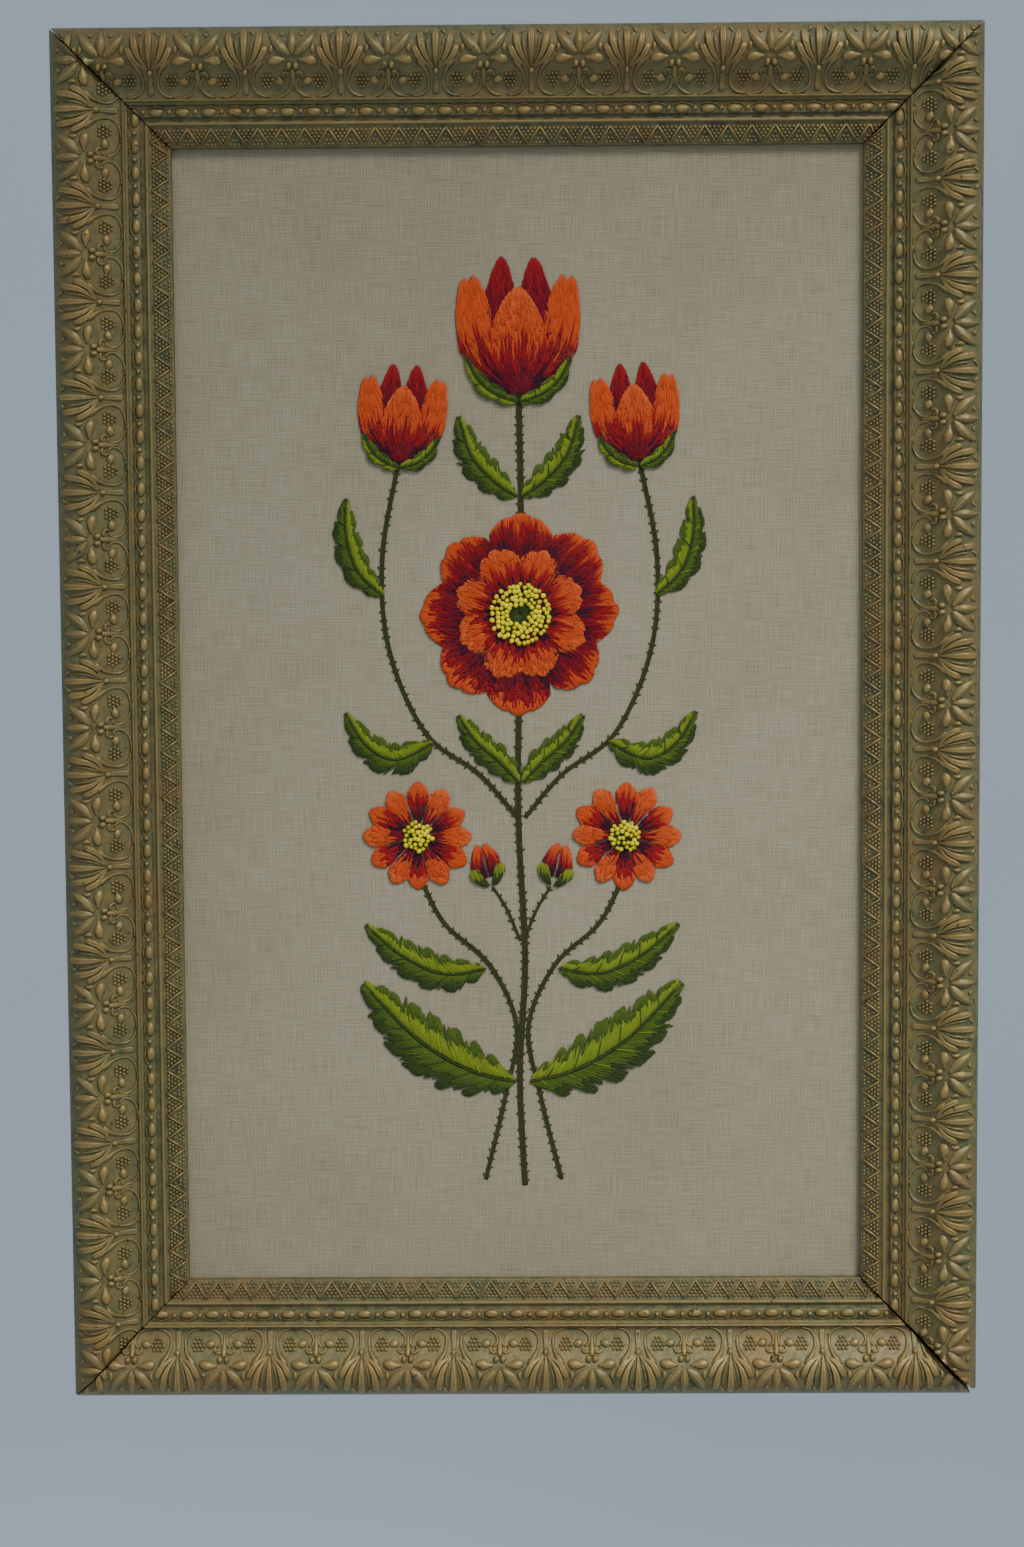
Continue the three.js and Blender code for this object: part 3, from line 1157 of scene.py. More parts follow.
def linen_cloth():
    """Plain weave of uneven natural threads, with a little grime, and painted shade that darkens the cloth
    away from its middle.
    """
    material, tree, shader = new_material(
        "natural_linen", {"Roughness": 0.92, "Specular IOR Level": 0.15, "Sheen Weight": 0.12},
    )
    where = object_place(tree)
    spot = separated(tree, where)
    wobble = noise(tree, where, 60, detail=2)

    def threads(coordinate, pitch):
        shifted = math_node(tree, "MULTIPLY_ADD", wobble, 0.0012, coordinate)
        return wave(tree, math_node(tree, "MULTIPLY", shifted, 2 * math.pi / (pitch * MM)))

    weave = math_node(tree, "MULTIPLY", threads(spot["X"], 0.98), threads(spot["Z"], 0.94))
    slub_up = noise(tree, where, 1.0, detail=1, stretch=(1400, 1, 48))
    slub_across = noise(tree, where, 1.0, detail=1, stretch=(48, 1, 1400))
    slubs = math_node(tree, "ADD", slub_up, slub_across)
    stains = noise(tree, where, 7, detail=4, roughness=0.5)
    thread = colour_steps(
        tree, math_node(tree, "MULTIPLY", slubs, 0.5),
        (0.28, 160, 152, 128), (0.50, 182, 175, 152), (0.72, 199, 193, 171),
    )
    colour = mix_colour(tree, weave, tinted(tree, thread, 0.60, 0.59, 0.54), thread)
    stain_share = in_range(tree, stains, 0.42, 0.68, 0.0, 0.7)
    colour = mix_colour(tree, stain_share, colour, tinted(tree, colour, 0.90, 0.88, 0.83))
    # Painted shade: the cloth gets darker with the distance from its middle, towards the frame.
    middle = add_node(tree, "ShaderNodeVectorMath", {0: where, 1: linen_place}, operation="DISTANCE")
    painted_edge_shade_share = in_range(tree, middle.outputs["Value"], 0.15, 0.45, 0.0, 0.9)
    colour = mix_colour(tree, painted_edge_shade_share, colour, tinted(tree, colour, 0.88, 0.87, 0.85))
    finish_material(tree, shader, colour, math_node(tree, "MULTIPLY_ADD", slubs, 0.9, weave), 0.0003)
    return material


linen = link_piece("linen", linen_sheet(), linen_cloth())
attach(linen, "root")
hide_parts("linen_ground")
print("linen", round(linen_width, 1), "x", round(linen_height, 1), "mm,", triangles(linen.data), "triangles")

# %% [markdown]
# ## The backing board
#
# Behind the linen lies a thin pressed board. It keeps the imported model's own mesh and gets a brown
# fibrous material.


# %% Board
def pressed_board():
    """Brown hardboard with short pressed fibres."""
    material, tree, shader = new_material("pressed_board", {"Roughness": 0.8})
    where = object_place(tree)
    clouds = noise(tree, where, 9, detail=4)
    fibres = noise(tree, where, 420, detail=4, roughness=0.7, stretch=(1, 1, 0.35))
    both = math_node(tree, "MULTIPLY_ADD", clouds, 0.5, math_node(tree, "MULTIPLY", fibres, 0.5))
    brown = colour_steps(tree, both, (0.34, 84, 60, 40), (0.50, 112, 84, 58), (0.66, 138, 108, 78))
    finish_material(tree, shader, brown, fibres, 0.0003, strength=0.4)
    return material


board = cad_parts["backing_board"]
board.data.materials.clear()
board.data.materials.append(pressed_board())

# %% [markdown]
# ## Stitches
#
# Crewel work is nothing but short lengths of wool between two needle holes. So the embroidery is kept
# as a long list of stitches: where each starts and ends, how high it lies, how wide its wool is and
# which colour it has. Three ways of filling go into the list:
#
# - long and short stitch for petals. Its rows run from the foot of a petal to its edge, and
#   the colours pass into each other in uneven tongues.
# - slanting satin stitch for leaves, from the midrib forwards to a lobed edge.
# - stem stitch for stalks: rows of short stitches, each starting beside the middle of the last one.

# %% Wool colours
WOOL = {
    "orange": (202, 78, 32),
    "light_orange": (210, 94, 42),
    "red": (150, 21, 28),
    "crimson": (118, 13, 31),
    "maroon": (68, 12, 36),
    "lime": (120, 138, 32),
    "leaf": (75, 96, 27),
    "deep": (52, 70, 26),
    "olive": (60, 60, 28),
}
wool = {name: from_photo(*colour)[:3] for name, colour in WOOL.items()}
SHORTEST_STITCH = 0.8


class Sewing:
    """A growing list of stitches."""

    def __init__(self, seed):
        self.random = np.random.default_rng(seed)
        self.centres = []
        self.turns = []
        self.sizes = []
        self.colours = []

    def stitch(self, start, end, lift, colour, width=1.1, end_lift=None):
        """One stitch between two holes that lie at lift and end_lift over the linen."""
        start = np.asarray(start, float)
        end = np.asarray(end, float)
        length = float(np.hypot(*(end - start)))
        if length < SHORTEST_STITCH:
            return
        end_lift = lift if end_lift is None else end_lift
        heading = math.atan2(end[1] - start[1], end[0] - start[0])
        slope = -math.atan2(end_lift - lift, length)
        centre = (start + end) / 2
        middle_lift = (lift + end_lift) / 2 + self.random.uniform(-0.06, 0.06)
        self.centres.append((centre[0], centre[1], middle_lift))
        self.turns.append((self.random.uniform(-0.25, 0.25), slope, heading))
        wide = width * self.random.uniform(0.88, 1.12)
        self.sizes.append((length, wide, 0.85 + 0.012 * length))
        tone = self.random.normal(1.0, 0.07)
        self.colours.append(tuple(min(1.0, max(0.0, c * tone)) for c in wool[colour]))

    def to_mesh(self, name):
        """The stitches as loose points that carry their turn, size and colour."""
        mesh = new_mesh(name, (np.array(self.centres) * MM).tolist(), [])
        keep_values(mesh, "turn", self.turns)
        keep_values(mesh, "size", np.array(self.sizes) * MM)
        keep_values(mesh, "thread_colour", [(*colour, 1.0) for colour in self.colours])
        return mesh


# %% [markdown]
# A petal is a patch between a left and a right edge with a line down its middle. The rows of wool
# follow these lines, so they fan out as they do under a careful needle. Where the patch gets narrow
# at its foot, every second row stops, and later every second of the rest.

# %% Long and short stitch
ROW_PITCH = 0.92
CLOSEST_ROWS = 0.6  # in row pitches; where the rows get closer, some of them stop
GUIDE_SAMPLES = 60
RAGGED_EDGE = 0.018
COLOUR_TONGUE = 0.12
USUAL_STITCH = (8, 11)
OVERLAP_BACK = 0.5
OVERLAP_ON = 0.7
ROUGH_TURN = 6.28  # a whole turn, near enough where the start is random


def fill_petal(sewing, lines, colours, lift, pad=0.9, scallops=3, notch=0.05, edge_dark=0.16):
    """Fill a petal between its left, middle and right lines.

    colours is a list of (where it starts, wool) from foot to edge.
    """
    random = sewing.random
    guides = [curve_through(line, GUIDE_SAMPLES) for line in lines]
    shares = np.linspace(0, 1, GUIDE_SAMPLES)

    def place(u, v):
        weights = ((1 - u) * (1 - 2 * u), 4 * u * (1 - u), u * (2 * u - 1))
        x = sum(w * np.interp(v, shares, g[:, 0]) for w, g in zip(weights, guides))
        y = sum(w * np.interp(v, shares, g[:, 1]) for w, g in zip(weights, guides))
        return np.array([x, y])

    def lifted(u, v):
        swell = math.sin(math.pi * min(1, max(0, 0.12 + 0.8 * v))) ** 0.8
        return lift + pad * (1 - abs(2 * u - 1) ** 3) * swell

    widths = np.linalg.norm(guides[0] - guides[1], axis=1) + np.linalg.norm(guides[2] - guides[1], axis=1)
    count = max(3, int(widths.max() / ROW_PITCH))
    if count % 2 == 0:
        count += 1
    length = float(np.sum(np.linalg.norm(np.diff(guides[1], axis=0), axis=1)))
    phase = random.uniform(0, ROUGH_TURN)
    drift = random.uniform(2.2, 3.4)
    for row in range(count):
        u = (row + 0.5 + random.uniform(-0.15, 0.15)) / count
        skipped = ((row + 1) & -(row + 1)).bit_length() - 1
        roomy = np.nonzero(widths / count * 2 ** skipped >= CLOSEST_ROWS * ROW_PITCH)[0]
        begin = shares[roomy[0]] if len(roomy) else 0.0
        scalloped = 1 - notch * (1 - abs(math.sin(math.pi * scallops * u)) ** 0.7)
        finish = scalloped - random.uniform(0, RAGGED_EDGE)
        side = abs(2 * u - 1) ** 3
        waves = 0.07 * math.sin(drift * ROUGH_TURN * u + phase) + 0.04 * math.sin(drift * 15 * u - phase)
        limits = [begin]
        for start, _ in colours[1:]:
            limit = start + waves + edge_dark * side + random.uniform(-COLOUR_TONGUE, COLOUR_TONGUE)
            limits.append(min(finish, max(begin, limit)))
        limits = np.maximum.accumulate(limits + [finish])
        for (_, thread), low, high in zip(colours, limits[:-1], limits[1:]):
            run = (high - low) * length
            if run < SHORTEST_STITCH:
                continue
            parts = max(1, round(run / random.uniform(*USUAL_STITCH)))
            cuts = np.linspace(low, high, parts + 1)
            jitter = np.array([random.uniform(-0.2, 0.2) for _ in range(parts - 1)])
            cuts[1:-1] += jitter * (high - low) / parts
            for a, b in zip(cuts[:-1], cuts[1:]):
                a = max(begin, a - OVERLAP_BACK / length)
                b = min(finish, b + OVERLAP_ON / length)
                sewing.stitch(place(u, a), place(u, b), lifted(u, a), thread, end_lift=lifted(u, b))


# %% [markdown]
# A leaf is sewn in two halves. Each half's stitches start along the midrib and lean forwards to the
# lobed edge; long ones are shared between a darker inner and a lighter outer wool. A line of stem
# stitch covers the midrib, and a few long single stitches over the top draw the veins.


# %% Satin leaf and stem stitch
def along_curve(points, pitch):
    """Points at an even distance along a smooth curve, with the headings and the left sides there."""
    dense = curve_through(points, 200)
    run = np.concatenate([[0], np.cumsum(np.linalg.norm(np.diff(dense, axis=0), axis=1))])
    stops = np.linspace(0, run[-1], max(2, int(run[-1] / pitch) + 1))
    placed = np.stack([np.interp(stops, run, dense[:, 0]), np.interp(stops, run, dense[:, 1])], axis=1)
    return (placed, *headings(placed))


STEM_ROW_PITCH = 0.95
STEM_SLANT = 0.22  # how far each stitch starts to one side of its row and ends to the other
SPURS_LEFT_OUT = 0.2
SPUR_ROOT = 0.36
SPUR_LEAN = (0.5, 1.0)
SPUR_REACH = (1.5, 2.2)
SPUR_RISE = 0.1


def sew_stem(sewing, points, rows, lift, spurs=True, colour="olive", pitch=2.9):
    """Stem stitch in side by side rows, with short spur stitches that lean off it."""
    placed, heading, side = along_curve(points, pitch)
    for row in range(rows):
        offset = (row - (rows - 1) / 2) * STEM_ROW_PITCH
        thread = "deep" if row == rows - 1 and rows > 1 else colour
        for i in range(0, len(placed) - 2):
            start = placed[i] + side[i] * (offset - STEM_SLANT)
            end = placed[i + 2] + side[i + 2] * (offset + STEM_SLANT)
            sewing.stitch(start, end, lift, thread, width=1.15)
    if spurs:
        for direction in (-1, 1):
            for i in range(1, len(placed) - 1, 2):
                if sewing.random.random() < SPURS_LEFT_OUT:
                    continue
                root = placed[i] + side[i] * direction * rows * SPUR_ROOT
                lean = sewing.random.uniform(*SPUR_LEAN)
                reach = sewing.random.uniform(*SPUR_REACH)
                tip = root + (heading[i] * lean + side[i] * direction) * reach
                sewing.stitch(root, tip, lift + SPUR_RISE, colour, width=1.05, end_lift=lift - SPUR_RISE)


LEAF_PITCH = 0.86
LONG_STITCH = 6.0
NARROWEST_LEAF = 0.6
BESIDE_MIDRIB = 0.3
LEAF_LIFT = 0.2
LEAF_CROWN = 0.45
MIDRIB_LIFT = 0.75
VEIN_LIFT = 0.9
LIGHT_HALF = ("lime", "leaf")
DARK_HALF = ("leaf", "deep")


def sew_leaf(sewing, spine, half_width, lift, lobes=5, lean=1.05, upper=LIGHT_HALF, lower=DARK_HALF):
    """A lobed leaf along a spine; each half has an inner wool and one for the tips of its lobes."""
    random = sewing.random
    placed, _, side = along_curve(spine, LEAF_PITCH)
    count = len(placed)
    length = LEAF_PITCH * count

    def width_at(share, direction):
        if share >= 1 or share <= 0:
            return 0.0
        body = math.sin(math.pi * share ** 0.85) ** 0.7
        shift = 0.5 / lobes if direction < 0 else 0.0
        lobe = 0.56 + 0.44 * abs(math.sin(math.pi * lobes * (share + shift))) ** 0.6
        return half_width * body * lobe

    for direction, (inner, outer) in ((1, upper), (-1, lower)):
        for i in range(count):
            share = i / count
            wide = width_at(share, direction)
            for _ in range(4):
                ahead = min(0.999, share + lean * wide / length)
                wide = width_at(ahead, direction)
            reach = min(count - 1, int(round((share + lean * wide / length) * count)))
            if wide < NARROWEST_LEAF:
                continue
            start = placed[i] + side[i] * direction * BESIDE_MIDRIB
            end = placed[reach] + side[reach] * direction * (wide + random.uniform(-0.3, 0.3))
            run = float(np.hypot(*(end - start)))
            crown = lift + LEAF_CROWN
            if run > LONG_STITCH:
                split = min(0.86, max(0.3, random.normal(0.58, 0.09)))
                middle = start + (end - start) * split
                overlap = (end - start) / run * 0.5
                sewing.stitch(start, middle + overlap, lift + LEAF_LIFT, inner, end_lift=crown)
                sewing.stitch(middle - overlap, end, crown, outer, end_lift=lift)
            else:
                thread = inner if run > LONG_STITCH / 2 else outer
                sewing.stitch(start, end, lift + LEAF_LIFT, thread, end_lift=lift)
    midrib = [placed[int(k)] for k in np.linspace(0, count * 0.94, 6)]
    sew_stem(sewing, midrib, 1, lift + MIDRIB_LIFT, False, "deep")
    for direction in (-1, 1):
        for vein in range(1, lobes):
            shift = 0.5 if direction < 0 else 0.0
            i = int((vein - 0.30 - shift * 0.5) / lobes * count)
            wide = width_at(i / count, direction) * 0.66
            ahead = min(count - 1, int(i + lean * wide / LEAF_PITCH))
            end = placed[ahead] + side[ahead] * direction * wide
            thread = "deep" if direction > 0 else "lime"
            sewing.stitch(placed[i], end, lift + VEIN_LIFT, thread, width=0.75, end_lift=lift + 0.7)


# %% [markdown]
# ## The design
#
# The linen carries a balanced spray of the kind that any crewel pattern book has, with a round bloom,
# tulips, daisies, buds and lobed leaves round one straight stalk. Each motif is a function that sews it
# about its own middle, and a small placer turns and moves it to its place. So a motif can be tried by
# itself before the whole spray is sewn, and the left half can be the right half in mirror image.

# %% Motifs
def placer(origin, turn=0.0, scale=1.0, mirror=1):
    """A function that moves a motif's own points to their place on the linen."""
    cos_turn = math.cos(math.radians(turn))
    sin_turn = math.sin(math.radians(turn))

    def place(points):
        moved = []
        for x, y in points:
            x *= mirror * scale
            y *= scale
            moved.append((origin[0] + x * cos_turn - y * sin_turn, origin[1] + x * sin_turn + y * cos_turn))
        return moved
    return place


def polar(radius, degrees):
    """A point at a distance and an angle from a motif's middle, angles clockwise from the top."""
    return (radius * math.sin(math.radians(degrees)), radius * math.cos(math.radians(degrees)))


def sew_round_petal(sewing, place, axis, inner, outer, spread, colours, lift, **how):
    """A petal that fans out from the middle of a round flower."""
    belly = (inner + outer) * 0.52

    def edge(turn):
        foot = polar(inner, axis + turn * 0.62)
        return place([foot, polar(belly, axis + turn), polar(outer * 0.86, axis + turn * 0.86)])

    middle = place([polar(inner, axis), polar(belly, axis), polar(outer, axis)])
    fill_petal(sewing, (edge(-spread), middle, edge(spread)), colours, lift, **how)


BLOOM_ROUNDS = (
    # first petal's turn, inner and outer reach in radii, half a petal's angle, lift, notch, wools
    (0, 0.30, (0.97, 1.03), 24.5, 0.3, 0.06,
     ((0, "maroon"), (0.42, "crimson"), (0.62, "red"), (0.80, "orange"))),
    (22.5, 0.14, (0.66, 0.71), 25.5, 1.0, 0.08,
     ((0, "maroon"), (0.24, "red"), (0.50, "orange"), (0.84, "light_orange"))),
)


def sew_bloom(sewing, centre, radius):
    """Two rounds of eight broad petals."""
    place = placer(centre)
    for first, inner, (shortest, longest), spread, lift, notch, tones in BLOOM_ROUNDS:
        for i in range(8):
            tilt = sewing.random.uniform(-2, 2)
            outer = radius * sewing.random.uniform(shortest, longest)
            sew_round_petal(
                sewing, place, 45 * i + first + tilt, radius * inner, outer, spread, tones,
                lift + 0.25 * (i % 2), notch=notch,
            )


DAISY_TONES = (
    ((0, "maroon"), (0.30, "red"), (0.62, "orange")),
    ((0, "crimson"), (0.26, "orange"), (0.76, "light_orange")),
)


def sew_daisy(sewing, centre, radius, petals=12):
    """A round of narrow petals in two wools turn about."""
    place = placer(centre)
    for i in range(petals):
        axis = 360 / petals * i + sewing.random.uniform(-2, 2)
        outer = radius * sewing.random.uniform(0.95, 1.02)
        sew_round_petal(
            sewing, place, axis, radius * 0.2, outer, 185 / petals, DAISY_TONES[i % 2],
            0.5 + 0.25 * (i % 2), pad=0.7, scallops=1, notch=0.09, edge_dark=0.08,
        )


TULIP_PETALS = (
    # left, middle and right line, wools, lift, scallops, notch; the first two are sewn on both sides
    ((((1, 8), (3, 44), (2, 82)), ((3, 8), (13, 46), (11, 94)), ((5, 8), (25, 44), (19, 80))),
     ((0, "maroon"), (0.55, "crimson"), (0.8, "red")), 0.3, 1, 0.12),
    ((((1, 4), (12, 36), (20, 66)), ((4, 3), (24, 34), (34, 84)), ((7, 2), (36, 24), (42, 60))),
     ((0, "maroon"), (0.26, "red"), (0.52, "orange")), 0.7, 2, 0.07),
    ((((-5, 2), (-20, 28), (-14, 60)), ((0, 2), (0, 36), (0, 74)), ((5, 2), (20, 28), (14, 60))),
     ((0, "crimson"), (0.30, "red"), (0.48, "orange"), (0.84, "light_orange")), 1.2, 1, 0.1),
)
SEPAL = ((0, -3), (15, 2), (27, 12), (35, 27))
BUD_PETALS = (
    # the same, with the pad
    ((((0, 4), (1, 14), (0, 27)), ((2, 4), (6, 13), (3, 28)), ((4, 4), (11, 12), (6, 25))),
     ((0, "maroon"), (0.4, "red"), (0.65, "orange")), 0.5, 1.0),
    ((((0, -2), (3, 4), (5, 12)), ((2, -2), (7, 4), (9, 13)), ((4, -2), (11, 3), (13, 11))),
     ((0, "deep"), (0.5, "lime")), 1.0, 0.8),
)


def sew_tulip(sewing, origin, turn, scale):
    """A closed cup of five petals with two green sepals at its foot."""
    right = placer(origin, turn, scale)
    left = placer(origin, turn, scale, -1)
    for petal, sides in zip(TULIP_PETALS, ((left, right), (left, right), (right,))):
        lines, tones, lift, scallops, notch = petal
        for place in sides:
            fill_petal(sewing, [place(line) for line in lines], tones, lift, scallops=scallops, notch=notch)
    for place in (left, right):
        sew_leaf(sewing, place(SEPAL), 6.5 * scale ** 0.5, 1.5, lobes=3, lean=0.9)


def sew_bud(sewing, origin, turn, scale=1.0):
    """A small closed bud in a green cup."""
    for side in (-1, 1):
        place = placer(origin, turn, scale, side)
        for lines, tones, lift, pad in BUD_PETALS:
            fill_petal(sewing, [place(line) for line in lines], tones, lift, pad=pad, scallops=1, notch=0.1)


def sew_heart(sewing, centre, inner, outer, lift):
    """A round heart of green stitches that fan out from its middle, two rounds deep."""
    place = placer(centre)
    count = int(2 * math.pi * outer / 1.0)
    for i in range(count):
        angle = 360 / count * (i + sewing.random.uniform(-0.3, 0.3))
        split = outer * sewing.random.uniform(0.5, 0.65)
        thread = "deep" if i % 3 else "leaf"
        far = place([polar(split, angle), polar(outer + sewing.random.uniform(-0.8, 0.8), angle)])
        sewing.stitch(far[0], far[1], lift + 0.6, thread, end_lift=lift)
        if i % 2:
            near = place([polar(inner, angle), polar(split + 0.8, angle)])
            sewing.stitch(near[0], near[1], lift + 0.7, "deep", end_lift=lift + 0.6)


# %% Sew the spray
bloom = Sewing(21)
tulips = Sewing(22)
daisies = Sewing(23)
leaves = Sewing(24)
stalks = Sewing(25)

BLOOM = (0, 72)
BLOOM_RADIUS = 68
DAISIES = ((-70, -78), (70, -78))
DAISY_RADIUS = 38
SIDE_STALKS = (
    # places on the right half, rows of stem stitch
    (((2, -66), (28, -36), (64, -8), (88, 48), (92, 110), (80, 177)), 3),
    (((26, -314), (12, -256), (4, -208), (22, -166), (52, -138), (68, -108)), 3),
    (((1, -150), (10, -128), (20, -112)), 2),
)
MAIN_STALK = ((1, -318), (-2, -240), (2, -160), (-2, -60), (0, 60), (1, 150), (0, 223))
LEAF_SPINES = (
    # places on the right half, half width, lobes
    (((4, -246), (36, -238), (72, -216), (108, -178)), 22, 7),
    (((24, -168), (52, -172), (80, -160), (106, -138)), 14, 6),
    (((58, -14), (84, -26), (104, -16), (118, 6)), 12, 5),
    (((91, 84), (108, 100), (116, 124), (116, 150)), 11, 5),
    (((1, -42), (14, -28), (30, -14), (42, 4)), 11, 5),
    (((1, 150), (16, 160), (32, 178), (40, 204)), 12, 5),
)

for side in (-1, 1):
    for points, rows in SIDE_STALKS:
        sew_stem(stalks, [(side * x, y) for x, y in points], rows, 0.0)
sew_stem(stalks, MAIN_STALK, 4, 0.15)

for side in (-1, 1):
    upper, lower = (LIGHT_HALF, DARK_HALF) if side > 0 else (DARK_HALF, LIGHT_HALF)
    for points, half_width, lobes in LEAF_SPINES:
        spine = [(side * x, y) for x, y in points]
        sew_leaf(leaves, spine, half_width, 0.5, lobes, upper=upper, lower=lower)

sew_bloom(bloom, BLOOM, BLOOM_RADIUS)
sew_heart(bloom, BLOOM, 0.6, 15, 1.9)
sew_tulip(tulips, (0, 216), 0, 1.0)
for side, daisy in zip((-1, 1), DAISIES):
    sew_daisy(daisies, daisy, DAISY_RADIUS)
    sew_heart(daisies, daisy, 0.6, 9, 1.3)
    sew_tulip(tulips, (side * 80, 172), side * 4, 0.72)
    sew_bud(daisies, (side * 21, -110), -side * 14)

# %% [markdown]
# ## From points to wool
#
# A second node tree puts a strand of wool on every point of the list. The strand is modelled once: a
# soft four-sided thread, one unit long, that comes up out of one hole and goes down the other. Turn,
# length and width come from the list; a random number with a fixed seed makes some strands a little
# plumper.


# %% The strand and the node tree "wool_on_stitches"
def strand_object():
    """One unit of wool along X, arched, closed, with its place along it kept as an attribute."""
    rings = ((-0.38, 0.44, 0.28), (0.0, 0.5, 0.5), (0.38, 0.44, 0.28))
    section = ((-1.0, -0.55), (-0.52, 0.62), (0.52, 0.62), (1.0, -0.55))
    sides = len(section)
    points = [(-0.5, 0, -0.45)]
    for along, radius, rise in rings:
        points += [(along, radius * over, rise + radius * up) for over, up in section]
    points.append((0.5, 0, -0.45))
    faces = [(0, 1 + i, 1 + (i + 1) % sides) for i in range(sides)]
    faces += [(b, a, d, c) for a, b, c, d in joined_rings(1, len(rings), sides)]
    last = 1 + (len(rings) - 1) * sides
    faces += [(len(points) - 1, last + (i + 1) % sides, last + i) for i in range(sides)]
    mesh = new_mesh("strand", points, faces, outward=True)
    keep_values(mesh, "strand_place", points)
    return bpy.data.objects.new("strand", mesh)


def wool_tree():
    """A strand of wool on every stitch point."""
    tree, value, result = new_tree("wool_on_stitches", (
        ("Strand", "Object"),
        ("Wool", "Material"),
        ("Thinnest", "Float", 0.95),
        ("Plumpest", "Float", 1.15),
        ("Seed", "Int", 5),
    ))
    turn = add_node(tree, "GeometryNodeInputNamedAttribute", {"Name": "turn"}, data_type="FLOAT_VECTOR")
    size = add_node(tree, "GeometryNodeInputNamedAttribute", {"Name": "size"}, data_type="FLOAT_VECTOR")
    plump = random_number(tree, value["Seed"], value["Thinnest"], value["Plumpest"])
    spread = combined(tree, X=1.0, Y=plump, Z=plump)
    scale = add_node(tree, "ShaderNodeVectorMath", {0: size.outputs[0], 1: spread}, operation="MULTIPLY")
    rotation = add_node(tree, "FunctionNodeEulerToRotation", {0: turn.outputs[0]})
    strands = add_node(tree, "GeometryNodeInstanceOnPoints", {
        "Points": value["Geometry"], "Instance": object_geometry(tree, value["Strand"]),
        "Rotation": rotation.outputs[0], "Scale": scale.outputs[0],
    })
    finish_tree(tree, result, realized(tree, strands.outputs[0]), value["Wool"])
    return tree


PLY_LENGTH = 0.0019
FIBRE_SCALE = 1500
WOOL_RELIEF = 0.0002


def crewel_wool(name):
    """Matt wool whose colour comes from the stitch list, with a soft halo and two twisted plies."""
    material, tree, shader = new_material(name, {
        "Roughness": 0.88, "Specular IOR Level": 0.2, "Sheen Weight": 0.08, "Sheen Roughness": 0.5,
    })
    fibres = noise(tree, object_place(tree), FIBRE_SCALE, detail=3, roughness=0.6)
    place = separated(tree, attribute(tree, "strand_place", "Vector"))
    size = separated(tree, attribute(tree, "size", "Vector"))
    run = math_node(tree, "MULTIPLY", place["X"], size["X"])
    slant = math_node(tree, "MULTIPLY", place["Y"], 5.0)
    plies = wave(tree, math_node(tree, "MULTIPLY_ADD", run, 2 * math.pi / PLY_LENGTH, slant))
    shade = math_node(tree, "MULTIPLY_ADD", plies, 0.22, math_node(tree, "MULTIPLY_ADD", fibres, 0.3, 0.66))
    shaded = add_node(tree, "ShaderNodeVectorMath", {
        0: attribute(tree, "thread_colour", "Color"), "Scale": shade,
    }, operation="SCALE").outputs[0]
    height = math_node(tree, "MULTIPLY_ADD", plies, 0.7, fibres)
    finish_material(tree, shader, shaded, height, WOOL_RELIEF)
    return material


strand = strand_object()
wool_nodes = wool_tree()
wool_materials = {name: crewel_wool(name) for name in ("flower_wool", "leaf_wool")}
SEWN = (
    ("bloom_stitches", bloom, "flower_wool"),
    ("tulip_stitches", tulips, "flower_wool"),
    ("daisy_stitches", daisies, "flower_wool"),
    ("leaf_stitches", leaves, "leaf_wool"),
    ("stalk_stitches", stalks, "leaf_wool"),
)
for name, sewing, part_slot in SEWN:
    settings = {"Strand": strand, "Wool": wool_materials[part_slot]}
    mesh = run_tree(wool_nodes, name, settings, sewing.to_mesh(name + "_points"))
    mesh.transform(picture_plane)
    piece = link_piece(name, mesh)
    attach(piece, "root")
    print(name, len(sewing.centres), "stitches,", triangles(mesh), "triangles")

# %% [markdown]
# ## French knots
#
# A French knot is wool wound twice round the needle and pulled down into a small coil. Yellow ones
# crowd the hearts of the round flowers. One knot is modelled as a coil that climbs to a closed top; a
# node tree scatters it over each heart, no two closer than a little less than a knot's own width.


# %% Knots
def knot_object():
    """A wound knot about one unit wide: two lumpy rings, the upper one smaller, and a top."""
    rings = ((1.0, -0.1), (1.06, 0.24), (0.84, 0.46), (0.86, 0.60), (0.66, 0.86), (0.30, 0.98))
    sides = 10
    points = []
    for level, (radius, height) in enumerate(rings):
        for i in range(sides):
            angle = 2 * math.pi * i / sides
            lump = 1 + 0.07 * math.cos(2 * angle + level * 0.9)
            reach = 0.5 * radius * lump
            rise = 0.72 * height + 0.03 * math.sin(angle + level)
            points.append((reach * math.cos(angle), reach * math.sin(angle), rise))
    top = len(points)
    points.append((0, 0, 0.66))
    faces = joined_rings(0, len(rings), sides)
    faces += [(top - sides + i, top - sides + (i + 1) % sides, top) for i in range(sides)]
    faces.append(tuple(range(sides - 1, -1, -1)))
    return bpy.data.objects.new("knot", new_mesh("knot", points, faces))


HEART_RINGS = 5
HEART_SIDES = 36
HEART_SWELL = 1.6
KNOT_TILT = 0.25


def heart_mesh(name, hearts):
    """The domed hearts that the knots are scattered over: (centre, inner, outer, height) each."""
    points = []
    faces = []
    for (x, y), inner, outer, base in hearts:
        around = joined_rings(len(points), HEART_RINGS, HEART_SIDES)
        faces += [(a, d, c, b) for a, b, c, d in around]
        for ring in range(HEART_RINGS):
            radius = inner + (outer - inner) * ring / (HEART_RINGS - 1)
            dome = base + HEART_SWELL * (1 - (radius / (outer * 1.05)) ** 2)
            for i in range(HEART_SIDES):
                angle = 2 * math.pi * i / HEART_SIDES
                points.append((x + radius * math.cos(angle), y + radius * math.sin(angle), dome))
    return new_mesh(name, (np.array(points) * MM).tolist(), faces)


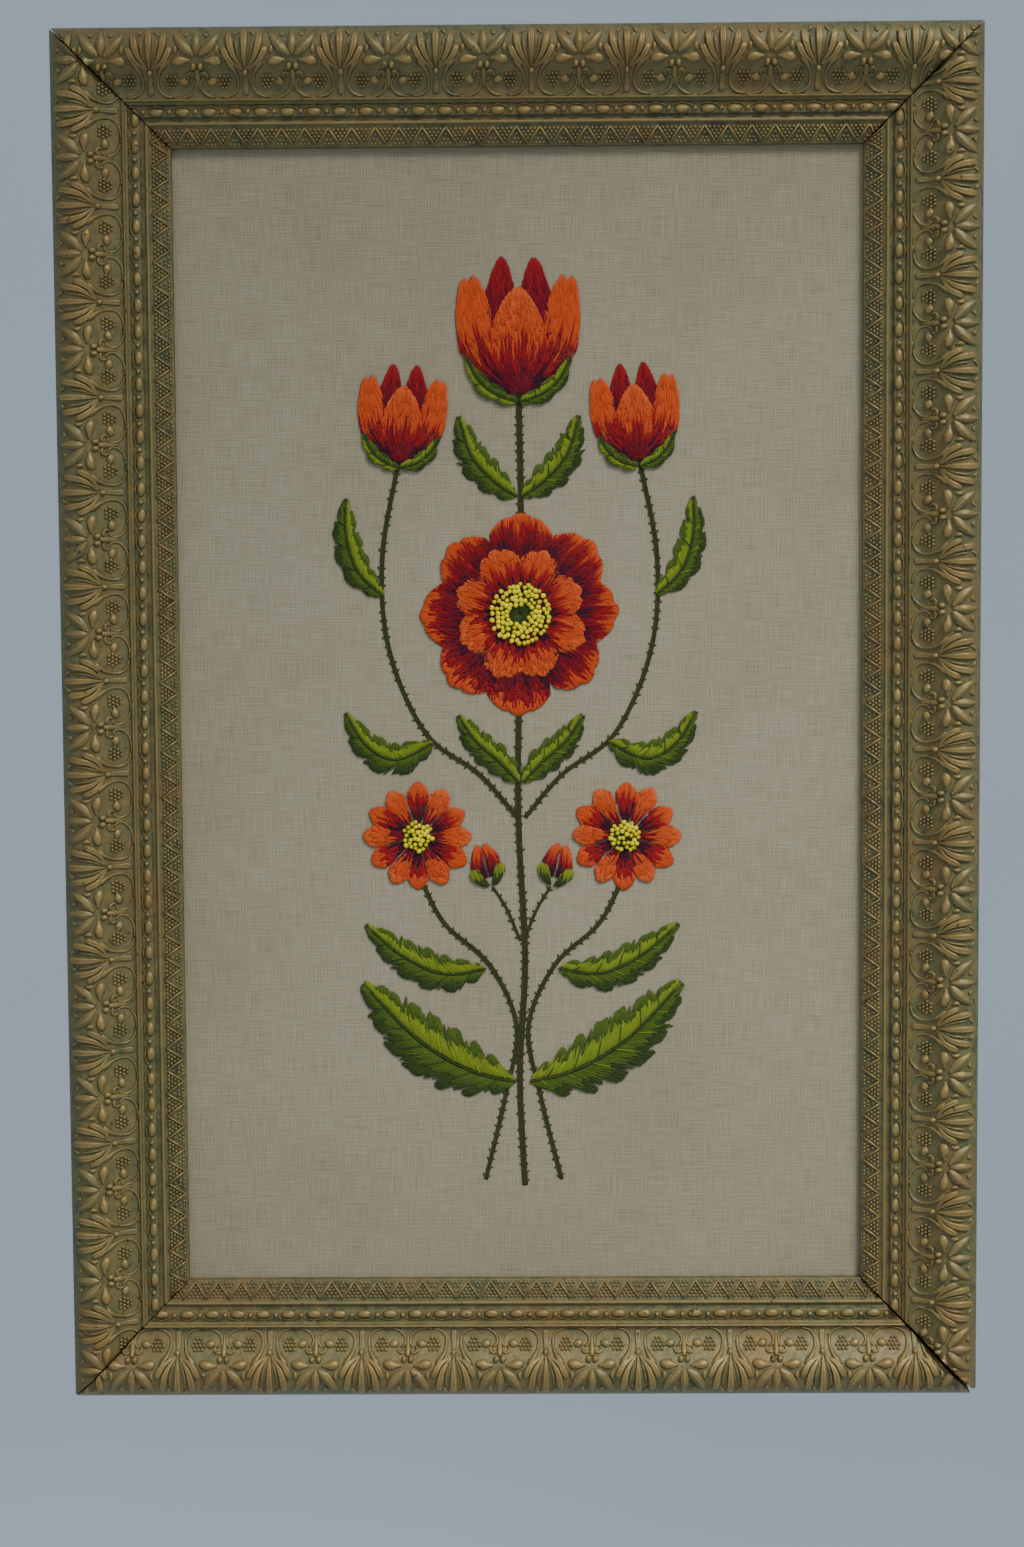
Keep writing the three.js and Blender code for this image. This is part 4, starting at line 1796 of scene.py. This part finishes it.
def knot_tree():
    """Knots scattered over the hearts, never closer than a set distance."""
    tree, value, result = new_tree("knots_on_hearts", (
        ("Knot", "Object"),
        ("Wool", "Material"),
        ("Closest", "Float", 0.0024),
        ("Density", "Float", 400000.0),
        ("Smallest", "Float", 0.0026),
        ("Largest", "Float", 0.0034),
        ("Seed", "Int", 8),
    ))
    spots = add_node(tree, "GeometryNodeDistributePointsOnFaces", {
        "Mesh": value["Geometry"], "Distance Min": value["Closest"], "Density Max": value["Density"],
        "Seed": value["Seed"],
    }, distribute_method="POISSON")
    turn = add_node(tree, "FunctionNodeRandomValue", {
        0: (-KNOT_TILT, -KNOT_TILT, 0), 1: (KNOT_TILT, KNOT_TILT, ROUGH_TURN), "Seed": value["Seed"],
    }, data_type="FLOAT_VECTOR")
    rotation = add_node(tree, "FunctionNodeEulerToRotation", {0: turn.outputs[0]})
    knots = add_node(tree, "GeometryNodeInstanceOnPoints", {
        "Points": spots.outputs[0], "Instance": object_geometry(tree, value["Knot"]),
        "Rotation": rotation.outputs[0],
        "Scale": random_number(tree, value["Seed"], value["Smallest"], value["Largest"]),
    })
    toned = with_random_tone(tree, knots.outputs[0], "knot_tone", value["Seed"])
    finish_tree(tree, result, realized(tree, toned), value["Wool"])
    return tree


def knot_wool():
    """Yellow wool, a little greener or warmer from knot to knot."""
    material, tree, shader = new_material(
        "knot_wool", {"Roughness": 0.88, "Specular IOR Level": 0.25, "Sheen Weight": 0.06},
    )
    fibres = noise(tree, object_place(tree), FIBRE_SCALE, detail=3, roughness=0.6)
    yellow = colour_steps(
        tree, swing(tree, fibres, 0.5, attribute(tree, "knot_tone")),
        (0.0, 198, 184, 12), (0.5, 228, 214, 16), (1.0, 240, 224, 30),
    )
    finish_material(tree, shader, yellow, fibres, WOOL_RELIEF)
    return material


HEARTS = [(BLOOM, 6.5, 20.0, 2.3)] + [(daisy, 1.0, 10.0, 1.8) for daisy in DAISIES]
settings = {"Knot": knot_object(), "Wool": knot_wool()}
knots_mesh = run_tree(knot_tree(), "french_knots", settings, heart_mesh("hearts", HEARTS))
knots_mesh.transform(picture_plane)
knots = link_piece("french_knots", knots_mesh)
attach(knots, "root")
print("french knots:", triangles(knots_mesh), "triangles")
